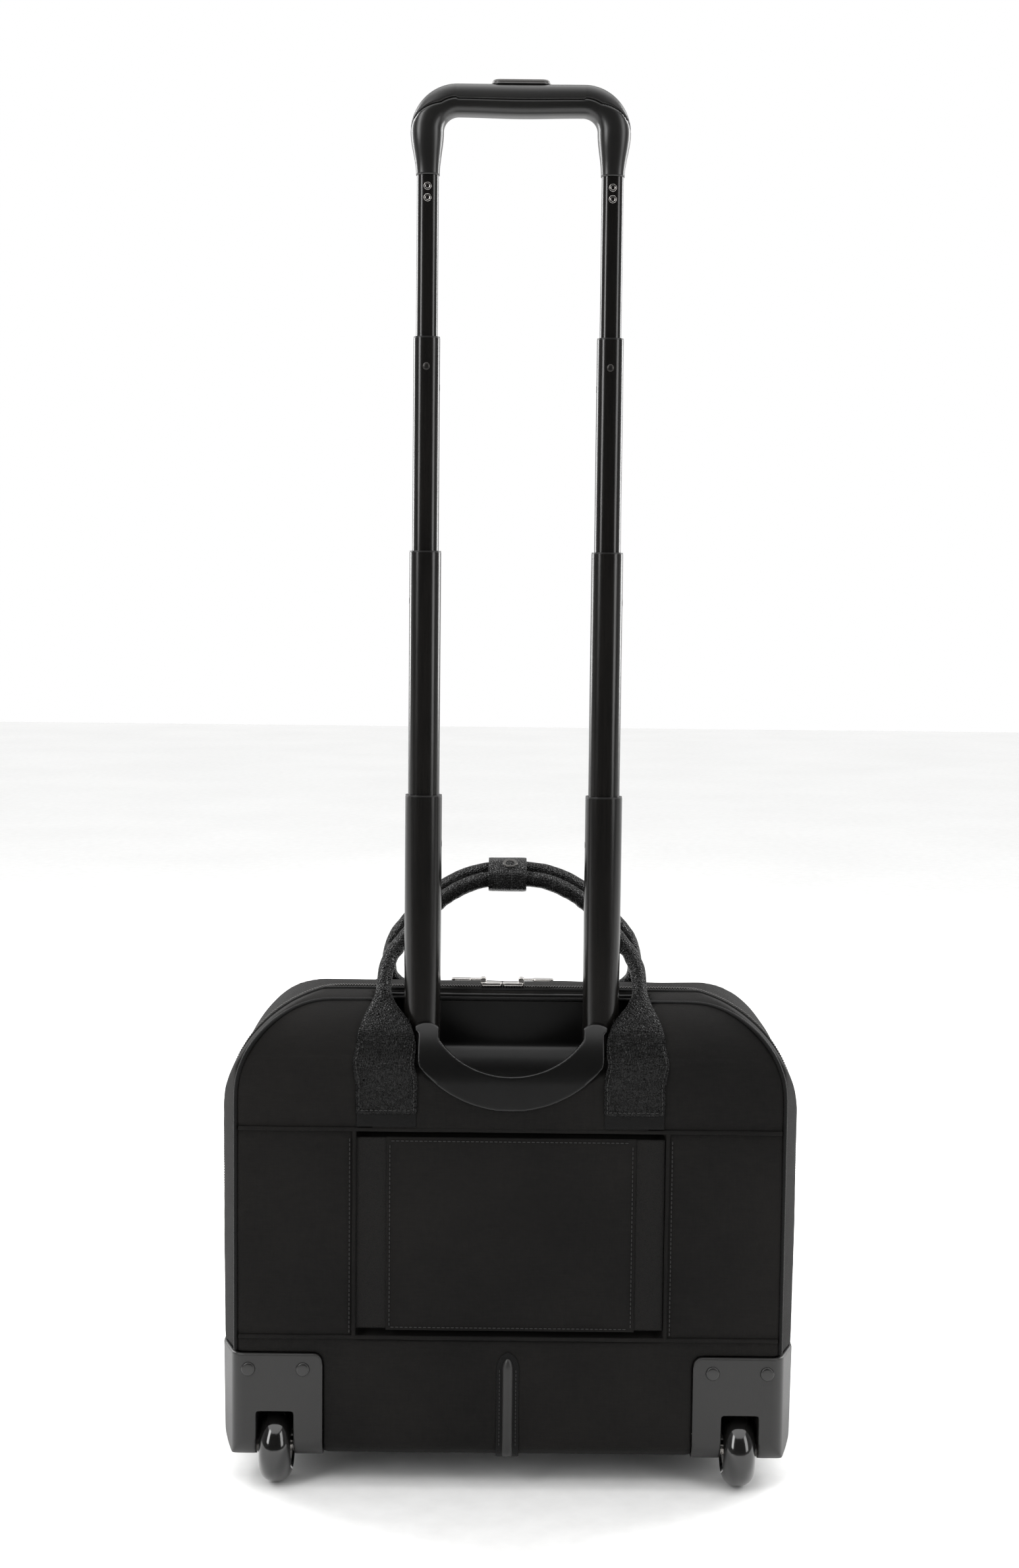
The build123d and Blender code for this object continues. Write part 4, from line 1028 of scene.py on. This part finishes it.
# Wrap: a band round the back roll, with a flap over the front roll and a snap on top: (y, z) in mm.
WRAP_ROUTE = [
    (-20.8, 440.4), (-27, 438.9), (-34, 438.3), (-40, 440.9), (-41.7, 446), (-40.6, 451.4), (-36.5, 455.4),
    (-30.5, 458.6), (-25.5, 460), (-20.8, 460.6),
]
wrap_path = line_through([(WRAP_X, y * MM, z * MM) for y, z in WRAP_ROUTE], 0.9 * MM)
wrap = sweep("handle_wrap_leather", wrap_path, (1, 0, 0), (WRAP_HIGH.x - WRAP_LOW.x) / 2, 0.85 * MM, 6, 44)
push_out(wrap, lambda points, _: 0.25 * MM * ripple(points, 8 * MM, 41))
wear(wrap, LEATHER, "back_handle", "leather", "handle_wrap")
SNAP = [(0.4, -0.1), (3, -0.15), (3.7, 0.4), (4.7, 0.6), (5.6, 0.3), (5.9, -0.3), (5.5, -1.2)]
snap_place = (WRAP_X + 2 * MM, -32.2 * MM, 458.7 * MM)
wear(lathe("wrap_snap", SNAP, [snap_place], (0, -0.42, 0.9)), DARK_METAL, "back_handle", "fastener")


# ======== Housing, bezel, guards and strip ========

for node, voxel, passes, look, slot in (
    ("handle_housing", 1.3 * MM, 5, MOULDED, "moulded_plastic"),
    ("scoop_bezel", 0.75 * MM, 6, MOULDED, "moulded_plastic"),
    ("wheel_guard_left", 1.0 * MM, 5, GUARD_PLASTIC, "moulded_plastic"),
    ("wheel_guard_right", 1.0 * MM, 5, GUARD_PLASTIC, "moulded_plastic"),
    ("front_feet", 1.0 * MM, 5, RUBBER, "foot_rubber"),
    ("laptop_pocket", 2.2 * MM, 4, LINING, "lining_fabric"),
):
    wear(rounded(node, voxel, passes), look, BODY_OF[node], slot, node)

# Rub strip: a flange with a raised core, whose top is a narrow arch. (y from the back, z) in mm.
STRIP_ROUTE = [
    (-0.4, 104.8), (-0.7, 98), (-0.8, 90), (-0.8, 70), (-0.8, 50), (-0.5, 36), (2.4, 28), (8, 23.6),
    (16, 22.9), (30, 22.9), (60, 22.9), (84, 22.9),
]
CORE_DROP = 4 * MM


def arched(from_top, height):
    """A round top's half width, as a share, by the distance down from it."""
    return np.sqrt(np.clip(1 - (1 - ramp(from_top, height)) ** 2, 0.02, 1))


strip_path = line_through([(0, BACK_Y + y * MM, z * MM) for y, z in STRIP_ROUTE], 1.2 * MM)
from_top = STRIP_HIGH.z - strip_path[:, 2]
flange_wide = 8.4 * MM * arched(from_top, 13 * MM)
flange = sweep("rub_strip_flange", strip_path, (1, 0, 0), flange_wide, 1.1 * MM, 5, 36)
wear(flange, PATCH_LEATHER, "root", "moulded_plastic", "rub_strip")
core_path = strip_path[from_top > CORE_DROP]
core_arch = arched(STRIP_HIGH.z - CORE_DROP - core_path[:, 2], 9 * MM)
under = ramp(30 * MM - core_path[:, 2], 6 * MM)
core_thick = (3.4 - 2.1 * under) * MM * core_arch
core = sweep("rub_strip_core", core_path, (1, 0, 0), 4.1 * MM * core_arch, core_thick, 2.2, 28)
wear(core, GUARD_PLASTIC, "root", "moulded_plastic")
strip_rows = [back_row(x, 34 * MM, x, 94 * MM, BACK_Y - 1.95 * MM) for x in (-6 * MM, 6 * MM)]
stitches("rub_strip_stitches", strip_rows, "root", "moulded_plastic", 2.2 * MM, 2.9 * MM, 0.32 * MM)


# ======== Pull handle ========

LEG_X = HANDLE_X + 0.65 * MM
TURN = 22 * MM  # radius of the grip's middle line at its corners
BAR_HALF = 11.2 * MM
LEG_HALF = 11.85 * MM
bar_z = COVER_HIGH.z - BAR_HALF
grip_depth = (GRIP_HIGH.y - GRIP_LOW.y) / 2


def grip_line():
    """The grip's middle line from the left leg's foot to the right one's, with its half height at each
    point, its half depth, and how far round the section from the outside the cover reaches."""
    foot, corner = GRIP_LOW.z, bar_z - TURN
    rows = []
    for z in np.linspace(foot, corner, 26)[:-1]:
        share = (z - foot) / (corner - foot)
        ease = share * share * (3 - 2 * share)
        half = 8.4 * MM + (LEG_HALF - 8.4 * MM) * ease
        depth = 7.2 * MM + (grip_depth - 7.2 * MM) * ease
        rows.append((-HANDLE_X - (LEG_X - HANDLE_X) * ease, z, half, depth, 0.0))
    for turn in np.linspace(0, math.pi / 2, 22)[:-1]:
        share = turn / (math.pi / 2)
        half = LEG_HALF + (BAR_HALF - LEG_HALF) * share
        x = -LEG_X + TURN * (1 - math.cos(turn))
        reach = math.pi / 2 * min(1.0, share * 1.6) ** 0.7
        rows.append((x, corner + TURN * math.sin(turn), half, grip_depth, reach))
    for x in np.linspace(-LEG_X + TURN, 0, 24):
        sag = 0.9 * MM * math.cos(x / (LEG_X - TURN) * math.pi / 2) ** 2
        rows.append((x, bar_z - sag * 0.5, BAR_HALF + sag * 0.35, grip_depth, math.pi / 2 + 0.12))
    half_rows = np.array(rows)
    mirrored = half_rows[-2::-1] * (-1, 1, 1, 1, 1)
    return np.concatenate([half_rows, mirrored])


def grip_rings(line, from_angle, to_angle, inset, count):
    """Arcs of the grip's section between two angles from the outside of the bend, inset under its
    surface."""
    path = np.stack([line[:, 0], np.full(len(line), HANDLE_Y), line[:, 1]], 1)
    ahead = directions(path)
    out = np.stack([-ahead[:, 2], np.zeros(len(line)), ahead[:, 0]], 1)
    rings = []
    for i in range(len(line)):
        angle = np.linspace(from_angle[i], to_angle[i], count)
        c, s = np.cos(angle), np.sin(angle)
        reach = 1 / (np.abs(c) ** 2.5 + np.abs(s) ** 2.5) ** (1 / 2.5)
        depth = inset(angle, i)
        across = c * reach * (line[i, 2] - depth)
        over = s * reach * (line[i, 3] - depth)
        rings.append(path[i] + across[:, None] * out[i] + over[:, None] * np.array((0, -1.0, 0)))
    return np.array(rings)


line = grip_line()
reach_of = line[:, 4]
SEAM_GAP = 0.05


def core_inset(angle, i):
    """The core is cut back under the cover, and its edge by the seam is rounded."""
    wrapped = np.abs((angle + math.pi) % (2 * math.pi) - math.pi)
    under_cover = ramp((reach_of[i] - wrapped) / SEAM_GAP + 1)
    return 1.3 * MM * under_cover * (reach_of[i] > 0.02)


CORE_SIDES = 72
start_angle = np.zeros(len(line))
last_angle = start_angle + 2 * math.pi * (CORE_SIDES - 1) / CORE_SIDES
core_rings = grip_rings(line, start_angle, last_angle, core_inset, CORE_SIDES)
wear(ring_mesh("grip_core_skin", core_rings), GRIP_PLASTIC, "stage_1", "grip_plastic", "grip_core")
covered = reach_of > 0.1
cover_line, cover_reach = line[covered], reach_of[covered] - SEAM_GAP


def cover_inset(angle, i):
    """The cover's edges are rounded."""
    edge = ramp(1 - (cover_reach[i] - np.abs(angle)) / 0.12)
    return 0.7 * MM * edge**2


outer = grip_rings(cover_line, -cover_reach, cover_reach, cover_inset, 41)
inner = grip_rings(cover_line, cover_reach, -cover_reach, lambda angle, i: 1.25 * MM + 0 * angle, 21)
cover_skin = ring_mesh("grip_cover_skin", np.concatenate([outer, inner], 1))
wear(cover_skin, GRIP_SOFT, "stage_1", "grip_soft", "grip_cover")

button_x, button_y = (BUTTON_LOW.x + BUTTON_HIGH.x) / 2, (BUTTON_LOW.y + BUTTON_HIGH.y) / 2
button_rim = oval_path(
    button_x, button_y, BUTTON_HIGH.x - BUTTON_LOW.x + 1.6 * MM, BUTTON_HIGH.y - BUTTON_LOW.y + 1.6 * MM,
    COVER_HIGH.z - 0.5 * MM,
)
wear(ring_tube("button_rim", button_rim, 0.7 * MM), GRIP_PLASTIC, "stage_1", "grip_plastic")
wear(rounded("grip_button", 0.45 * MM, 4), BUTTON_PLASTIC, "button", "button_plastic", "grip_button")

# Screws below the grip, rivets on the second stage, and the guards' rivets.
SCREW = [(0.5, -0.9), (1, -0.85), (1.15, -0.1), (1.8, 0.13), (2.5, 0.1), (2.8, -0.02), (2.7, -0.8)]
RIVET = [(0.6, 0.75), (1.6, 0.62), (2.3, 0.35), (2.75, 0), (2.7, -0.6)]
STUD = [(1, 1.35), (3.4, 1.3), (4.5, 1.1), (5.05, 0.65), (5.15, 0), (5, -0.6)]
STUD_XS = (-190.5, -150.5, 150.5, 190.5)
screw_low, screw_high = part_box("grip_screws")
screw_heights = (screw_low.z + 2.5 * MM, screw_high.z - 2.5 * MM)
screw_places = [(side * HANDLE_X, TUBE_LOW.y, z) for side in (-1, 1) for z in screw_heights]
wear(lathe("grip_screw_heads", SCREW, screw_places, (0, -1, 0)), CHROME, "stage_1", "fastener", "grip_screws")
pin_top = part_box("lock_pins_2")[1].z
second_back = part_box("tube_2_right")[0].y
rivet_places = [(side * HANDLE_X, second_back, pin_top - 2.8 * MM) for side in (-1, 1)]
wear(lathe("stage_rivets", RIVET, rivet_places, (0, -1, 0)), DARK_METAL, "stage_2", "fastener")
rivet_low, rivet_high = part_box("guard_rivets")
stud_places = [(x * MM, GUARD_LOW.y, (rivet_low.z + rivet_high.z) / 2) for x in STUD_XS]
studs = lathe("guard_studs", STUD, stud_places, (0, -1, 0), 36)
wear(studs, GRIP_PLASTIC, "root", "fastener", "guard_rivets")


# ======== Zip ========


def zip_route(y, lift, tree):
    """Points on the case's surface along the opening, at y, from the left hinge end to the right."""
    low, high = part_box("zip_chain_lid")
    flat = panel_edge(high.x + 6 * MM, high.z + 7 * MM, 104 * MM, low.z + 3 * MM, 2 * MM)
    guess = np.array([(x, y, z) for x, z in flat])
    path = laid_on(tree, guess, lift)
    path[:, 1] = y
    return eased(evened(path, 2 * MM), 3)


COIL_PITCH = 2.0 * MM
COIL_SECTIONS = ((-1, 0.5), (-0.75, 0.95), (0.0, 1.0), (0.7, 0.9), (1, 0.5))
COIL_SIDES = 6


def teeth(name, path, reach, offset, body):
    """Coil teeth along a zip, each reaching reach across the opening."""
    along = run_length(path)
    points, faces = [], []
    for place in np.arange(offset + 1 * MM, along[-1] - 1 * MM, COIL_PITCH):
        middle = point_at(path, along, place)
        ahead = unit(point_at(path, along, place + 1 * MM) - middle)
        up = unit(np.cross(ahead, (0, 1.0, 0)))
        faces += tube_faces(len(COIL_SECTIONS), COIL_SIDES, len(points))
        for share, size in COIL_SECTIONS:
            for k in range(COIL_SIDES):
                a = 2 * math.pi * k / COIL_SIDES
                points.append(
                    middle + np.array((0, reach * share, 0)) + ahead * math.cos(a) * 0.62 * MM * size
                    + up * math.sin(a) * 0.75 * MM * size
                )
    wear(outward(mesh_object(name, points, faces)), DARK_METAL, body, "zip_chain")


for part, y, offset, body in (("rear", -43.0 * MM, 0.0, "root"), ("lid", -40.8 * MM, 1.0 * MM, "lid")):
    route = zip_route(y, 0.25 * MM, surface_of(f"zip_chain_{part}"))
    teeth(f"zip_teeth_{part}", route, 1.25 * MM, offset, body)

for node in ("zip_slider_left", "zip_slider_right", "zip_pull_left", "zip_pull_right"):
    wear(rounded(node, 0.32 * MM, 4), CHROME, BODY_OF[node], "zip_metal", node)


# ======== Inside and front pocket ========

pocket_half = (POCKET_HIGH.x - POCKET_LOW.x) / 2
POCKET_CORNER = 18 * MM
POCKET_RISE = 6.2 * MM
POCKET_EDGE = 26 * MM


def pocket_depth(x, z):
    """The front pocket stands off the lid, and comes back to it at its sewn edges."""
    from_side = ramp(pocket_half - np.abs(x), POCKET_EDGE)
    from_foot = ramp(z - POCKET_LOW.z, 34 * MM)
    rise = np.sin(from_side * math.pi / 2) * np.sin(from_foot * math.pi / 2)
    points = np.stack([x, np.zeros_like(x), z], 1)
    return FRONT_Y + 1.6 * MM + POCKET_RISE * rise + 0.5 * MM * ripple(points, 60 * MM, 51)


def pocket_outline(x, z):
    """Rounds the pocket's lower corners."""
    from_foot = np.clip(z - POCKET_LOW.z, 0, POCKET_CORNER)
    pull = POCKET_CORNER - np.sqrt(POCKET_CORNER**2 - (POCKET_CORNER - from_foot) ** 2)
    return x * (1 - pull / pocket_half), z


front_pocket, inside = slab(
    "front_pocket_cover", (POCKET_LOW.x, POCKET_LOW.z), (POCKET_HIGH.x, POCKET_HIGH.z), pocket_depth,
    2.2 * MM, 4 * MM, outline=pocket_outline,
)
cloth_puff(front_pocket, 2.0, 2.5 * MM, inside < 5 * MM)
wear(front_pocket, NYLON, "lid", "shell_fabric", "front_pocket")
binding_route = []
for x in (-149, -140, -124, -80, -30, 30, 80, 124, 140, 149):
    rise = math.sin(min(1, (150 - abs(x)) * MM / POCKET_EDGE) * math.pi / 2)
    binding_route.append((x * MM, FRONT_Y + 1.9 * MM + POCKET_RISE * rise, POCKET_HIGH.z))
pocket_top = line_through(binding_route, 2 * MM)
binding = sweep("front_pocket_binding", pocket_top, (0, 0, 1), 4.2 * MM, 1.75 * MM, 5, 20)
wear(binding, PATCH_LEATHER, "lid", "piping")

divider_low, divider_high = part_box("document_divider")
divider_inset = Vector((1 * MM, 0, 1 * MM))
divider_from, divider_to = divider_low + divider_inset, divider_high - divider_inset
divider, _ = slab(
    "document_divider_pad", (divider_from.x, divider_from.z), (divider_to.x, divider_to.z),
    lambda x, z: np.full_like(x, (divider_low.y + divider_high.y) / 2), divider_high.y - divider_low.y,
    5 * MM, 1.6 * MM,
)
wear(divider, LINING, BODY_OF["document_divider"], "lining_fabric", "document_divider")


# ======== CAD pieces that stay ========

KEPT = {
    ANODISED: [
        f"{part}_{side}" for part in ("tube_1", "tube_2", "tube_3", "tube_4", "outer_sleeve")
        for side in ("left", "right")
    ],
    BUSH_PLASTIC: [
        *(f"bushes_{n}" for n in range(1, 6)), "sleeve_bracket", "wheel_hub_left", "wheel_hub_right",
    ],
    DARK_METAL: ["lock_pins_2", "lock_pins_3", "lock_pins_4", "release_yoke"],
    CHROME: ["wheel_axles", "wheel_bearings_left", "wheel_bearings_right"],
    TYRE: ["wheel_tyre_left", "wheel_tyre_right"],
    BOARD: ["back_board"],
    LINING: ["divider_panel", "base_board"],
    TAPE: ["zip_chain_rear", "zip_chain_lid"],
}
for look, names in KEPT.items():
    for name in names:
        node = NODES[name]
        node.data.materials.clear()
        node.data.materials.append(look)

bpy.context.view_layer.update()
